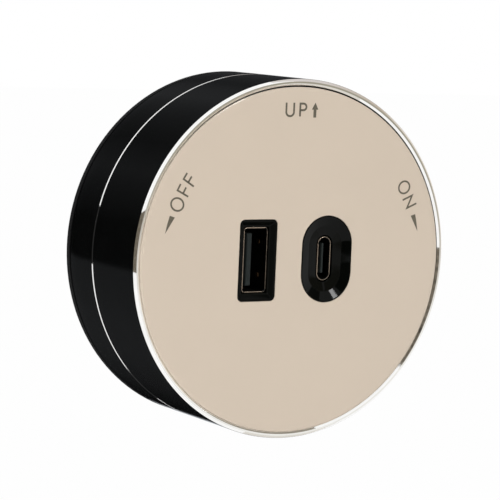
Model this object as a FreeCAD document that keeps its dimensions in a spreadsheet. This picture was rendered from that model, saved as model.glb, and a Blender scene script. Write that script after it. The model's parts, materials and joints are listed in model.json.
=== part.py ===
import FreeCAD, Part
import math
import os
import re

import Sketcher

# A round adapter that twists onto a mains power track and charges from a USB-A and a USB-C socket.
# Frame: the origin is the centre of the rear face that seats on the track. The face looks along -Y, its
# UP mark is towards +Z and +X is to the right as one looks at the face. Depths are counted from the seat
# towards the face, so a depth of 10 is y = -10, and a negative depth lies inside the track.
# All sizes are in millimetres. Angles are in degrees, clockwise from the UP mark as seen from the front.
SIZES = {
    # body
    "body_radius": 36.0,
    "sleeve_wall": 1.3,
    "base_thick": 1.5,
    "base_inset": 0.02,
    "base_edge": 0.12,
    "running_gap": 0.4,
    "rear_length": 10.0,
    "rear_taper": 0.25,
    "taper_length": 3.5,
    "accent_cut": 0.2,
    "seam_cut": 0.08,
    "front_length": 17.35,
    "rim_cut": 0.7,
    "rim_crest": 0.18,
    "ledge_reach": 1.1,
    "ledge_thick": 0.8,
    # face
    "panel_sink": 0.05,
    "panel_thick": 2.0,
    "panel_gap": 0.12,
    "panel_edge": 0.35,
    "carrier_thick": 2.3,
    "slip": 0.05,
    # housing
    "floor_thick": 1.8,
    "lip_thick": 0.8,
    "lip_reach": 0.45,
    "housing_wall": 1.6,
    "housing_length": 16.0,
    "collar_radius": 13.0,
    "collar_height": 1.7,
    "pillar_inset": 5.05,
    "pillar_radius": 2.4,
    "pillar_foot": 3.6,
    "pillar_first": 60.0,
    "post_place": 15.5,
    "post_radius": 2.0,
    "post_height": 4.5,
    # screws
    "screw_hole": 1.02,
    "screw_bite": 6.0,
    "thread_clear": 0.02,
    "hole_clear": 0.2,
    "pilot_spare": 1.0,
    "head_thick": 1.2,
    "head_small": 1.9,
    "head_large": 2.2,
    "head_clear": 0.2,
    "sink_radius": 2.05,
    "sink_depth": 0.8,
    "carrier_sink": 1.3,
    "cross_long": 2.1,
    "cross_wide": 0.42,
    "cross_deep": 0.5,
    # twist bearing
    "hub_radius": 10.0,
    "hub_bore": 7.0,
    "hub_height": 5.9,
    "bearing_clear": 0.05,
    "washer_clear": 0.03,
    "washer_inner": 10.6,
    "washer_outer": 16.0,
    "drag_washer": 0.4,
    "drag_outer": 12.8,
    "ring_thick": 0.8,
    "ring_outer": 12.0,
    "ring_depth": 0.8,
    "ring_mouth": 40.0,
    # quarter-turn stop
    "stop_place": 22.0,
    "stop_radius": 1.5,
    "stop_height": 1.0,
    "stop_clear": 0.1,
    "stop_sweep": 90.0,
    # guide block that enters the slot of the track
    "guide_length": 30.0,
    "guide_width": 9.6,
    "guide_height": 8.0,
    "guide_lead": 0.7,
    "guide_seat": 0.5,
    "guide_fit": 0.15,
    "guide_screw_place": 12.3,
    # contacts
    "spindle_radius": 3.8,
    "spindle_flange": 18.0,
    "flange_thick": 1.6,
    "shaft_radius": 6.5,
    "arm_level": 4.4,
    "arm_reach": 8.4,
    "arm_width": 3.6,
    "strip_thick": 0.8,
    "strip_width": 3.0,
    "strip_place": 2.5,
    "sweep_clear": 0.3,
    "cap_height": 2.2,
    "pin_radius": 1.1,
    "pin_collar": 1.5,
    "collar_length": 1.15,
    "pin_reach": 9.2,
    "pin_nose": 0.5,
    "spring_wire": 0.3,
    "spring_radius": 1.1,
    "spring_pitch": 1.45,
    "strap_thick": 0.5,
    "strap_length": 8.0,
    # boards
    "board_thick": 1.6,
    "board_clear": 0.65,
    "board_lift": 9.5,
    "spacer_wall": 1.1,
    "output_wide": 35.0,
    "output_tall": 22.0,
    "output_thick": 1.2,
    "output_gap": 4.4,
    "standoff_radius": 2.2,
    "standoff_inset": 2.3,
    # converter
    "core_wide": 16.0,
    "core_deep": 10.0,
    "core_thick": 5.2,
    "core_leg": 2.5,
    "core_centre": 2.2,
    "core_place": 20.5,
    "bobbin_flange": 5.2,
    "bobbin_wall": 0.6,
    "winding_radius": 4.8,
    "capacitor_crimp": 0.35,
    "crimp_wide": 0.5,
    "crimp_up": 1.2,
    "capacitor_radius": 5.0,
    "capacitor_length": 10.4,
    "capacitor_across": 10.5,
    "capacitor_down": 19.5,
    "core_yoke": 2.0,
    "choke_across": 23.0,
    "choke_down": 2.0,
    "choke_radius": 3.0,
    "choke_waist": 2.5,
    "choke_end": 1.0,
    "choke_length": 7.0,
    "fuse_across": 13.0,
    "fuse_up": 18.5,
    "fuse_radius": 1.9,
    "fuse_length": 6.0,
    "fuse_cap": 2.05,
    "fuse_cap_length": 1.5,
    "y_cap_across": 14.5,
    "y_cap_up": 18.5,
    "y_cap_wide": 7.0,
    "y_cap_thick": 3.2,
    "y_cap_height": 7.5,
    "bridge_clear": 0.5,
    "bridge_down": 8.0,
    "bridge_wide": 5.0,
    "bridge_tall": 6.4,
    "bridge_thick": 1.5,
    "chip_across": 9.0,
    "chip_down": 8.0,
    "chip_wide": 4.0,
    "chip_tall": 5.0,
    "chip_thick": 1.6,
    "header_wide": 10.2,
    "header_thick": 2.5,
    "header_inset": 2.0,
    "leaf_inset": 2.45,
    "leaf_wide": 3.0,
    "leaf_thick": 0.4,
    "leaf_foot": 1.6,
    "leaf_height": 6.6,
    "charger_side": 5.0,
    "charger_down": 4.0,
    "charger_thick": 0.9,
    "output_cap_up": 4.5,
    "output_cap_radius": 3.0,
    "output_cap_height": 4.6,
    # USB-A socket
    "a_place": 8.4,
    "a_bezel_wide": 8.4,
    "a_bezel_tall": 16.1,
    "a_bezel_corner": 1.0,
    "a_rim": 0.35,
    "a_recess": 0.9,
    "a_shell_wide": 5.7,
    "a_shell_tall": 13.1,
    "a_shell_corner": 0.6,
    "a_wall": 0.3,
    "a_behind_tongue": 0.93,
    "a_tongue_thick": 1.45,
    "a_tongue_tall": 10.4,
    "a_tongue_sink": 1.2,
    "a_tongue_edge": 0.18,
    "a_contact_wide": 1.0,
    "a_contact_thick": 0.25,
    "a_contact_near": 1.0,
    "a_contact_far": 3.5,
    "a_contact_bump": 0.3,
    "a_contact_stop": 1.6,
    "a_root_length": 1.2,
    "a_root_inset": 0.5,
    "a_dimple_up": 3.4,
    "a_dimple_sink": 2.9,
    "a_dimple_radius": 0.6,
    "a_dimple_height": 0.25,
    # USB-C socket
    "c_place": 7.7,
    "c_bezel_wide": 11.7,
    "c_bezel_tall": 17.45,
    "c_rim": 0.25,
    "c_recess": 1.05,
    "c_dish_inset": 2.0,
    "c_dish_depth": 0.7,
    "c_shell_gap": 0.25,
    "c_shell_wide": 3.2,
    "c_shell_tall": 8.94,
    "c_wall": 0.3,
    "c_tongue_thick": 0.7,
    "c_tongue_tall": 6.69,
    "c_tongue_sink": 0.85,
    "c_root_sink": 6.4,
    "c_contact_wide": 0.25,
    "c_contact_pitch": 0.5,
    "c_contact_thick": 0.1,
    "c_contact_stop": 0.6,
    "flange_margin": 1.5,
    "bezel_flange": 1.0,
}

# Levels, as depths from the seat, each worked out from the sizes above.
HEAD_REAR = "(base_thick + running_gap)"
FLOOR_FRONT = f"({HEAD_REAR} + floor_thick)"
COLLAR_FRONT = f"({FLOOR_FRONT} + collar_height)"
SEAM = f"({HEAD_REAR} + rear_length)"
CREST = f"({SEAM} + front_length)"
RIM_REAR = f"({CREST} - rim_cut)"
PANEL_FRONT = f"({CREST} - panel_sink)"
PANEL_REAR = f"({PANEL_FRONT} - panel_thick)"
CARRIER_REAR = f"({PANEL_REAR} - carrier_thick)"
LEDGE_REAR = f"({CARRIER_REAR} - ledge_thick)"
HUB_FRONT = "(base_thick + hub_height)"
RING_REAR = f"({COLLAR_FRONT} + drag_washer + 2 * washer_clear)"
FLANGE_REAR = f"({FLOOR_FRONT} + post_height)"
FLANGE_FRONT = f"({FLANGE_REAR} + flange_thick)"
SHAFT_STEP = "(base_thick + guide_seat / 2)"
BOARD_REAR = f"({HEAD_REAR} + board_lift)"
BOARD_FRONT = f"({BOARD_REAR} + board_thick)"
OUTPUT_REAR = f"({BOARD_FRONT} + output_gap)"
OUTPUT_FRONT = f"({OUTPUT_REAR} + output_thick)"
A_MOUTH = f"({PANEL_FRONT} - a_recess)"
C_MOUTH = f"({PANEL_FRONT} - c_recess)"
ARM_REAR = "(arm_level + strip_thick)"

# Radii worked out from the sizes above.
SLEEVE_BORE = "(body_radius - sleeve_wall)"
HOUSING_RADIUS = f"({SLEEVE_BORE} - slip)"
HOUSING_BORE = f"({HOUSING_RADIUS} - housing_wall)"
LIP_RADIUS = f"({HOUSING_RADIUS} + lip_reach)"
PILLAR_PLACE = f"({HOUSING_BORE} - pillar_inset)"
BOARD_RADIUS = f"({HOUSING_BORE} - board_clear)"
LEAF_PLACE = f"({HOUSING_BORE} - leaf_inset)"
STANDOFF_ACROSS = "(output_wide / 2 - standoff_inset)"
STANDOFF_UP = "(output_tall / 2 - standoff_inset)"
BASE_RADIUS = "(body_radius - base_inset)"
RIM_RADIUS = "(body_radius - rim_cut - rim_crest)"
PANEL_RADIUS = f"({SLEEVE_BORE} - panel_gap)"
HUB_GROOVE = "(hub_radius - ring_depth)"
COLLAR_BORE = "(hub_radius + bearing_clear)"
SPINDLE_BORE = "(pin_collar + bearing_clear)"
GUIDE_BORE = "(spindle_radius + guide_fit)"

FACING = FreeCAD.Rotation(FreeCAD.Vector(1, 0, 0), 90)

document = FreeCAD.newDocument("PowerTrackUsbAdapter")
sheet = document.addObject("Spreadsheet::Sheet", "Sizes")
for row, (alias, size) in enumerate(SIZES.items(), start=1):
    sheet.set(f"A{row}", str(size))
    sheet.setAlias(f"A{row}", alias)
document.recompute()

nodes = {}


def bound(text):
    """An expression whose size names are cells of the sheet."""
    return re.sub(r"[a-z][a-z_]+", r"Sizes.\g<0>", str(text))


def value(text):
    """The length or angle that a text of size names and arithmetic stands for."""
    numbers = re.sub(r"[a-z][a-z_]+", lambda name: repr(SIZES[name.group(0)]), str(text))
    return FreeCAD.Units.Quantity(numbers).Value


def keep(node, name):
    """Names a finished sub-part after its file."""
    node.Label = name
    nodes[name] = node
    return node


# Sketches and features


def new_body(name):
    body = document.addObject("PartDesign::Body", name.title().replace("_", ""))
    return keep(body, name)


def new_sketch(body, name, role="XZ_Plane", depth=None):
    """A sketch on one of the body's own planes. One on XZ can start at a depth and faces forward."""
    sketch = body.newObject("Sketcher::SketchObject", f"{body.Name}{name}")
    plane = next(feature for feature in body.Origin.OriginFeatures if feature.Role == role)
    sketch.AttachmentSupport = [(plane, "")]
    sketch.MapMode = "FlatFace"
    if depth is not None:
        sketch.setExpression("AttachmentOffset.Base.z", bound(depth))
    return sketch


def tie(sketch, kind, where, text):
    """Adds a dimension to the sketch and binds it to the sheet."""
    place = sketch.addConstraint(Sketcher.Constraint(kind, *where, value(text)))
    sketch.setExpression(f"Constraints[{place}]", bound(text))


def tie_point(sketch, line, point, across, up):
    tie(sketch, "DistanceX", (-1, 1, line, point), across)
    tie(sketch, "DistanceY", (-1, 1, line, point), up)


def draw_polygon(sketch, corners):
    """A closed outline through corners, each given as how far across and how far up."""
    first = sketch.GeometryCount
    count = len(corners)
    spots = [FreeCAD.Vector(value(across), value(up), 0) for across, up in corners]
    for place in range(count):
        sketch.addGeometry(Part.LineSegment(spots[place], spots[(place + 1) % count]))
    for place in range(count):
        following = first + (place + 1) % count
        sketch.addConstraint(Sketcher.Constraint("Coincident", first + place, 2, following, 1))
    for place, (across, up) in enumerate(corners):
        tie_point(sketch, first + place, 1, across, up)


def draw_rectangle(sketch, across, up, wide, tall):
    """A rectangle about its centre."""
    left, right = f"{across} - ({wide}) / 2", f"{across} + ({wide}) / 2"
    low, high = f"{up} - ({tall}) / 2", f"{up} + ({tall}) / 2"
    draw_polygon(sketch, [(left, low), (right, low), (right, high), (left, high)])


def draw_circle(sketch, across, up, radius):
    centre = FreeCAD.Vector(value(across), value(up), 0)
    circle = sketch.addGeometry(Part.Circle(centre, FreeCAD.Vector(0, 0, 1), value(radius)))
    tie(sketch, "Radius", (circle,), radius)
    tie_point(sketch, circle, 3, across, up)


def draw_slot(sketch, across, up, wide, long, upright):
    """A slot with round ends about its centre, upright or lying."""
    reach = f"({long} - {wide}) / 2"
    turn = 0 if upright else -90
    x, y, radius, half = value(across), value(up), value(wide) / 2, value(reach)
    step = FreeCAD.Rotation(FreeCAD.Vector(0, 0, 1), turn)

    def spot(side, along):
        return FreeCAD.Vector(x, y, 0) + step.multVec(FreeCAD.Vector(side, along, 0))

    ends = []
    for sign, start in ((1, 0), (-1, 180)):
        circle = Part.Circle(spot(0, sign * half), FreeCAD.Vector(0, 0, 1), radius)
        begin, end = math.radians(start + turn), math.radians(start + 180 + turn)
        arc = sketch.addGeometry(Part.ArcOfCircle(circle, begin, end))
        ends.append(arc)
    first = sketch.addGeometry(Part.LineSegment(spot(-radius, half), spot(-radius, -half)))
    second = sketch.addGeometry(Part.LineSegment(spot(radius, -half), spot(radius, half)))
    for arc, line, arc_end, line_end in (
        (ends[0], first, 2, 1),
        (ends[1], first, 1, 2),
        (ends[1], second, 2, 1),
        (ends[0], second, 1, 2),
    ):
        sketch.addConstraint(Sketcher.Constraint("Tangent", arc, arc_end, line, line_end))
    tie(sketch, "Radius", (ends[0],), f"{wide} / 2")
    for arc, sign in zip(ends, ("+", "-")):
        if upright:
            tie_point(sketch, arc, 3, across, f"{up} {sign} {reach}")
        else:
            tie_point(sketch, arc, 3, f"{across} {sign} {reach}", up)


def turn_outline(body, name, corners, groove=None):
    """Turns an outline of radii and depths about the Y axis, or cuts it away over a span of degrees."""
    role = "XY_Plane" if groove is None else "YZ_Plane"
    sketch = new_sketch(body, f"{name}Outline", role)
    if groove is None:
        draw_polygon(sketch, [(radius, f"-({depth})") for radius, depth in corners])
        feature = body.newObject("PartDesign::Revolution", f"{body.Name}{name}")
        axis = "V_Axis"
    else:
        draw_polygon(sketch, [(f"-({depth})", radius) for radius, depth in corners])
        feature = body.newObject("PartDesign::Groove", f"{body.Name}{name}")
        axis = "H_Axis"
    feature.Profile = sketch
    feature.ReferenceAxis = (sketch, [axis])
    if groove is None:
        feature.Angle = 360
    else:
        feature.Midplane = True
        feature.setExpression("Angle", bound(groove))
    document.recompute()
    return feature


def pad(body, sketch, length, backward=False):
    """Raises a sketch by a length, forward unless told otherwise."""
    feature = body.newObject("PartDesign::Pad", f"{sketch.Name}Pad")
    feature.Profile = sketch
    feature.Reversed = backward
    feature.setExpression("Length", bound(length))
    document.recompute()
    return feature


def pocket(body, sketch, length=None, forward=False):
    """Cuts a sketch backward by a length, forward if told so, or right through both ways."""
    before = body.Shape.Volume
    feature = body.newObject("PartDesign::Pocket", f"{sketch.Name}Pocket")
    feature.Profile = sketch
    if length is None:
        feature.Type = "ThroughAll"
        feature.Midplane = True
    else:
        feature.Reversed = forward
        feature.setExpression("Length", bound(length))
    document.recompute()
    if body.Shape.Volume >= before:
        raise RuntimeError(f"{feature.Name} cuts nothing")
    return feature


def funnel(body, name, draw_wide, wide_depth, draw_narrow, narrow_depth):
    """Cuts a straight-sided funnel between two outlines at two depths."""
    before = body.Shape.Volume
    mouth = new_sketch(body, f"{name}Mouth", depth=wide_depth)
    draw_wide(mouth)
    throat = new_sketch(body, f"{name}Throat", depth=narrow_depth)
    draw_narrow(throat)
    feature = body.newObject("PartDesign::SubtractiveLoft", f"{body.Name}{name}")
    feature.Profile = mouth
    feature.Sections = [throat]
    feature.Ruled = True
    document.recompute()
    if body.Shape.Volume >= before:
        raise RuntimeError(f"{feature.Name} cuts nothing")
    return feature


def corner_edges(shape, corners):
    """The edges of a shape that run along Y through one of the corners."""
    found = []
    for place, edge in enumerate(shape.Edges, start=1):
        box = edge.BoundBox
        if box.YLength < 0.05 or box.XLength > 1e-4 or box.ZLength > 1e-4:
            continue
        if any(math.hypot(box.XMin - x, box.ZMin - z) < 1e-3 for x, z in corners):
            found.append(f"Edge{place}")
    return found


def round_edges(body, feature, edges, radius, chamfer=False):
    kind = "PartDesign::Chamfer" if chamfer else "PartDesign::Fillet"
    rounding = body.newObject(kind, f"{feature.Name}Edge")
    rounding.Base = (feature, edges)
    rounding.setExpression("Size" if chamfer else "Radius", bound(radius))
    document.recompute()
    return rounding


def round_corners(body, feature, across, wide, tall, radius):
    """Rounds the corners of an upright rectangle about x = across and z = 0."""
    x, half_wide, half_tall = value(across), value(wide) / 2, value(tall) / 2
    corners = [(x + i * half_wide, j * half_tall) for i in (-1, 1) for j in (-1, 1)]
    return round_edges(body, feature, corner_edges(feature.Shape, corners), radius)


def ring_edges(shape, radius, depth):
    """The full circles of a shape about the Y axis at a radius and a depth."""
    found = []
    for place, edge in enumerate(shape.Edges, start=1):
        box = edge.BoundBox
        if box.YLength > 1e-4 or abs(box.YMin + value(depth)) > 1e-3:
            continue
        if abs(box.XLength / 2 - value(radius)) < 1e-3 and abs(box.ZLength / 2 - value(radius)) < 1e-3:
            found.append(f"Edge{place}")
    return found


# Plain solids, placed by a centre across, a centre up and a starting depth


def set_place(item, across, up, depth):
    item.Placement = FreeCAD.Placement(FreeCAD.Vector(0, 0, 0), FACING)
    item.setExpression("Placement.Base.x", bound(across))
    item.setExpression("Placement.Base.y", bound(f"-({depth})"))
    item.setExpression("Placement.Base.z", bound(up))
    return item


def rod(name, radius, length, across, up, depth):
    """A cylinder that runs forward from a depth."""
    item = document.addObject("Part::Cylinder", name)
    item.setExpression("Radius", bound(radius))
    item.setExpression("Height", bound(length))
    return set_place(item, across, up, depth)


def taper(name, rear_radius, front_radius, length, across, up, depth):
    """A cone that runs forward from a depth."""
    item = document.addObject("Part::Cone", name)
    item.setExpression("Radius1", bound(rear_radius))
    item.setExpression("Radius2", bound(front_radius))
    item.setExpression("Height", bound(length))
    return set_place(item, across, up, depth)


def block(name, wide, tall, deep, across, up, depth):
    """A box that runs forward from a depth."""
    item = document.addObject("Part::Box", name)
    item.setExpression("Length", bound(wide))
    item.setExpression("Width", bound(tall))
    item.setExpression("Height", bound(deep))
    return set_place(item, f"{across} - ({wide}) / 2", f"{up} - ({tall}) / 2", depth)


def join(name, items):
    joined = document.addObject("Part::MultiFuse", name)
    joined.Shapes = items
    joined.Refine = True
    return joined


def cut(name, base, tool):
    rest = document.addObject("Part::Cut", name)
    rest.Base = base
    rest.Tool = tool
    return rest


def gather(name, items):
    """Several separate solids in one node."""
    if len(items) == 1:
        return keep(items[0], name)
    group = document.addObject("Part::Compound", name.title().replace("_", ""))
    group.Links = items
    return keep(group, name)


def tube(name, outer, inner, length, across, up, depth):
    wall = rod(f"{name}Outer", outer, length, across, up, depth)
    bore = rod(f"{name}Bore", inner, length, across, up, depth)
    return cut(name, wall, bore)


def on_circle(radius, angle):
    """How far across and up a spot on a circle is, at an angle clockwise from the top."""
    cosine = math.cos(math.radians(angle))
    sine = math.sin(math.radians(angle))
    return f"({radius}) * {sine:.9f}", f"({radius}) * {cosine:.9f}"


def cross_slot(mark, across, up, floor):
    """The cross cut into a screw's head, from the cut's floor forward."""
    sides = (("cross_long", "cross_wide"), ("cross_wide", "cross_long"))
    bars = [
        block(f"{mark}Slot{number}", wide, tall, "cross_deep * 2", across, up, floor)
        for number, (wide, tall) in enumerate(sides)
    ]
    return join(f"{mark}Slots", bars)


def pan_screws(name, spots, seat, shank, head):
    """Screws with round heads that stand in front of a seat and run backward, each with a cross slot."""
    screws = []
    for number, (across, up) in enumerate(spots):
        mark = f"{name.title().replace('_', '')}{number}"
        parts = [
            rod(f"{mark}Head", head, "head_thick", across, up, seat),
            rod(f"{mark}Shank", "screw_hole - thread_clear", shank, across, up, f"{seat} - ({shank})"),
        ]
        slots = cross_slot(mark, across, up, f"{seat} + head_thick - cross_deep")
        screws.append(cut(mark, join(f"{mark}Blank", parts), slots))
    return gather(name, screws)


PILLAR_ANGLES = [SIZES["pillar_first"] + 120 * turn for turn in range(3)]
POST_ANGLES = [0, 120, 240]
STOP_ANGLE = -45


# Base, which stays on the track


def make_base_plate():
    """Disc with the hub for the head, the groove for the ring, the stop's slot and the block's seat."""
    body = new_body("base_plate")
    ring_front = f"({RING_REAR} + ring_thick + washer_clear)"
    disc = turn_outline(
        body,
        "Disc",
        [
            (GUIDE_BORE, "0"),
            (BASE_RADIUS, "0"),
            (BASE_RADIUS, "base_thick"),
            ("hub_radius", "base_thick"),
            ("hub_radius", RING_REAR),
            (HUB_GROOVE, RING_REAR),
            (HUB_GROOVE, ring_front),
            ("hub_radius", ring_front),
            ("hub_radius", HUB_FRONT),
            ("hub_bore", HUB_FRONT),
            ("hub_bore", "base_thick"),
            (GUIDE_BORE, "base_thick"),
        ],
    )
    edges = ring_edges(disc.Shape, BASE_RADIUS, "0") + ring_edges(disc.Shape, BASE_RADIUS, "base_thick")
    round_edges(body, disc, edges, "base_edge", chamfer=True)
    seat = new_sketch(body, "Seat")
    draw_slot(seat, "0", "0", "(guide_width + 2 * guide_fit)", "(guide_length + 2 * guide_fit)", False)
    pocket(body, seat, "guide_seat", forward=True)
    half_stop = "(stop_radius + stop_clear)"
    spare = math.degrees(value(half_stop) / value("stop_place"))
    turn_outline(
        body,
        "StopSlot",
        [
            (f"stop_place - {half_stop}", "base_thick - stop_height - stop_clear"),
            (f"stop_place + {half_stop}", "base_thick - stop_height - stop_clear"),
            (f"stop_place + {half_stop}", "base_thick"),
            (f"stop_place - {half_stop}", "base_thick"),
        ],
        groove=f"stop_sweep + 2 * {spare:.4f}",
    )
    for number, side in enumerate(("-", "")):
        hole = new_sketch(body, f"Hole{number}")
        draw_circle(hole, f"{side}guide_screw_place", "0", "screw_hole + hole_clear")
        pocket(body, hole)
        funnel(
            body,
            f"Sink{number}",
            lambda sketch: draw_circle(sketch, f"{side}guide_screw_place", "0", "sink_radius"),
            "base_thick",
            lambda sketch: draw_circle(sketch, f"{side}guide_screw_place", "0", "screw_hole + hole_clear"),
            "base_thick - sink_depth",
        )


def make_guide_block():
    """Oblong block with the spindle's bore and the slot that the contact arms sweep through."""
    body = new_body("guide_block")
    outline = new_sketch(body, "Outline", depth="guide_seat")
    draw_slot(outline, "0", "0", "guide_width", "guide_length", False)
    solid = pad(body, outline, "guide_height + guide_seat", backward=True)
    rear = [
        f"Edge{place}"
        for place, edge in enumerate(solid.Shape.Edges, start=1)
        if abs(edge.BoundBox.YMin - value("guide_height")) < 1e-3
    ]
    round_edges(body, solid, rear, "guide_lead", chamfer=True)
    bore = new_sketch(body, "Bore")
    draw_circle(bore, "0", "0", GUIDE_BORE)
    pocket(body, bore)
    sweep = new_sketch(body, "Sweep", depth="-(arm_level - sweep_clear)")
    draw_circle(sweep, "0", "0", "arm_reach + sweep_clear")
    pocket(body, sweep, "strip_thick + 2 * sweep_clear")
    for number, side in enumerate(("-", "")):
        hole = new_sketch(body, f"Pilot{number}", depth="guide_seat")
        draw_circle(hole, f"{side}guide_screw_place", "0", "screw_hole")
        pocket(body, hole, "screw_bite + pilot_spare")


def make_guide_screws():
    """Two countersunk screws through the plate into the block, flush under the thrust washer."""
    screws = []
    for number, side in enumerate(("-", "")):
        mark = f"GuideScrew{number}"
        across = f"{side}guide_screw_place"
        depth = "(sink_depth - slip)"
        wide = "sink_radius - hole_clear"
        head = taper(f"{mark}Head", "screw_hole", wide, depth, across, "0", f"base_thick - {depth}")
        shank = rod(
            f"{mark}Shank",
            "screw_hole - thread_clear",
            f"screw_bite + base_thick - guide_seat - {depth} + slip",
            across,
            "0",
            "guide_seat - screw_bite",
        )
        slots = cross_slot(mark, across, "0", "base_thick - cross_deep")
        screws.append(cut(mark, join(f"{mark}Blank", [head, shank]), slots))
    gather("guide_screws", screws)


def make_washers():
    """Thrust washer behind the head and drag washer in front of its collar."""
    thrust = tube(
        "ThrustWasher",
        "washer_outer",
        "washer_inner",
        "running_gap - 2 * washer_clear",
        "0",
        "0",
        "base_thick + washer_clear",
    )
    keep(thrust, "thrust_washer")
    drag = tube(
        "FrictionWasher",
        "drag_outer",
        "hub_radius + bearing_clear * 2",
        "drag_washer",
        "0",
        "0",
        f"{COLLAR_FRONT} + washer_clear",
    )
    keep(drag, "friction_washer")


def make_retaining_ring():
    """Open spring ring in the hub's groove, with its mouth at the bottom."""
    body = new_body("retaining_ring")
    turn_outline(
        body,
        "Ring",
        [
            (f"{HUB_GROOVE} + slip", RING_REAR),
            ("ring_outer", RING_REAR),
            ("ring_outer", f"{RING_REAR} + ring_thick"),
            (f"{HUB_GROOVE} + slip", f"{RING_REAR} + ring_thick"),
        ],
    )
    mouth = new_sketch(body, "Mouth")
    half = math.tan(math.radians(SIZES["ring_mouth"] / 2))
    low = "-(ring_outer + 1)"
    side = f"(ring_outer + 1) * {half:.6f}"
    draw_polygon(mouth, [("0", "0"), (side, low), (f"-{side}", low)])
    pocket(body, mouth)


# Shells of the head


def make_rear_housing():
    """Insulating cup with the bearing collar, the pillars, the spindle's posts and the stop peg."""
    body = new_body("rear_housing")
    lip_front = f"({HEAD_REAR} + lip_thick)"
    wall_front = f"({HEAD_REAR} + housing_length)"
    turn_outline(
        body,
        "Cup",
        [
            (COLLAR_BORE, HEAD_REAR),
            (LIP_RADIUS, HEAD_REAR),
            (LIP_RADIUS, lip_front),
            (HOUSING_RADIUS, lip_front),
            (HOUSING_RADIUS, wall_front),
            (HOUSING_BORE, wall_front),
            (HOUSING_BORE, FLOOR_FRONT),
            ("collar_radius", FLOOR_FRONT),
            ("collar_radius", COLLAR_FRONT),
            (COLLAR_BORE, COLLAR_FRONT),
        ],
    )
    for number, angle in enumerate(PILLAR_ANGLES):
        across, up = on_circle(PILLAR_PLACE, angle)
        foot = new_sketch(body, f"Foot{number}", depth=HEAD_REAR)
        draw_circle(foot, across, up, "pillar_foot")
        pad(body, foot, "board_lift")
        pillar = new_sketch(body, f"Pillar{number}", depth=HEAD_REAR)
        draw_circle(pillar, across, up, "pillar_radius")
        pad(body, pillar, f"{CARRIER_REAR} - {HEAD_REAR}")
        pilot = new_sketch(body, f"PillarPilot{number}", depth=CARRIER_REAR)
        draw_circle(pilot, across, up, "screw_hole")
        pocket(body, pilot, "screw_bite + pilot_spare")
    for number, angle in enumerate(POST_ANGLES):
        across, up = on_circle("post_place", angle)
        post = new_sketch(body, f"Post{number}", depth=HEAD_REAR)
        draw_circle(post, across, up, "post_radius")
        pad(body, post, "floor_thick + post_height")
        pilot = new_sketch(body, f"PostPilot{number}", depth=FLANGE_REAR)
        draw_circle(pilot, across, up, "screw_hole")
        pocket(body, pilot, "post_height")
    peg = new_sketch(body, "Peg", depth=HEAD_REAR)
    across, up = on_circle("stop_place", STOP_ANGLE)
    draw_circle(peg, across, up, "stop_radius")
    pad(body, peg, "stop_height + running_gap", backward=True)


def make_rear_sleeve():
    """Rear ring, drawn in a little towards its rear edge, with the bright cut at its front edge."""
    body = new_body("rear_sleeve")
    lip_front = f"({HEAD_REAR} + lip_thick)"
    turn_outline(
        body,
        "Ring",
        [
            (f"{LIP_RADIUS} + slip", HEAD_REAR),
            ("body_radius - rear_taper", HEAD_REAR),
            ("body_radius - rear_taper / 4", f"{HEAD_REAR} + taper_length / 2"),
            ("body_radius", f"{HEAD_REAR} + taper_length"),
            ("body_radius", f"{SEAM} - accent_cut"),
            ("body_radius - accent_cut", SEAM),
            (SLEEVE_BORE, SEAM),
            (SLEEVE_BORE, lip_front),
            (f"{LIP_RADIUS} + slip", lip_front),
        ],
    )


def make_front_sleeve():
    """Front ring with the cut rim at its mouth and the inner ledge that the face sits on."""
    body = new_body("front_sleeve")
    turn_outline(
        body,
        "Ring",
        [
            (SLEEVE_BORE, SEAM),
            ("body_radius - seam_cut", SEAM),
            ("body_radius", f"{SEAM} + seam_cut"),
            ("body_radius", RIM_REAR),
            ("body_radius - rim_cut", CREST),
            (RIM_RADIUS, CREST),
            (SLEEVE_BORE, f"{CREST} - ({RIM_RADIUS} - {SLEEVE_BORE})"),
            (SLEEVE_BORE, CARRIER_REAR),
            (f"{SLEEVE_BORE} - ledge_reach", CARRIER_REAR),
            (f"{SLEEVE_BORE} - ledge_reach", LEDGE_REAR),
            (SLEEVE_BORE, LEDGE_REAR),
        ],
    )


def cut_port_holes(body, name, depth, reach):
    """Cuts the holes for both bezels backward from a depth."""
    hole = new_sketch(body, f"{name}A", depth=depth)
    wide, tall = "(a_bezel_wide + 2 * slip)", "(a_bezel_tall + 2 * slip)"
    draw_rectangle(hole, "-a_place", "0", wide, tall)
    cutting = pocket(body, hole, reach)
    round_corners(body, cutting, "-a_place", wide, tall, "a_bezel_corner + slip")
    hole = new_sketch(body, f"{name}C", depth=depth)
    draw_slot(hole, "c_place", "0", "(c_bezel_wide + 2 * slip)", "(c_bezel_tall + 2 * slip)", True)
    pocket(body, hole, reach)


def make_face_carrier():
    """Plate that the face is bonded to, screwed to the housing's pillars from the front."""
    body = new_body("face_carrier")
    disc = new_sketch(body, "Disc", depth=CARRIER_REAR)
    draw_circle(disc, "0", "0", f"{SLEEVE_BORE} - slip")
    pad(body, disc, "carrier_thick")
    for number, angle in enumerate(PILLAR_ANGLES):
        across, up = on_circle(PILLAR_PLACE, angle)
        hole = new_sketch(body, f"Hole{number}", depth=PANEL_REAR)
        draw_circle(hole, across, up, "screw_hole + hole_clear")
        pocket(body, hole, "carrier_thick")
        sink = new_sketch(body, f"Sink{number}", depth=PANEL_REAR)
        draw_circle(sink, across, up, "head_large + head_clear")
        pocket(body, sink, "carrier_sink")
    cut_port_holes(body, "Port", PANEL_REAR, "carrier_thick")


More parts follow.
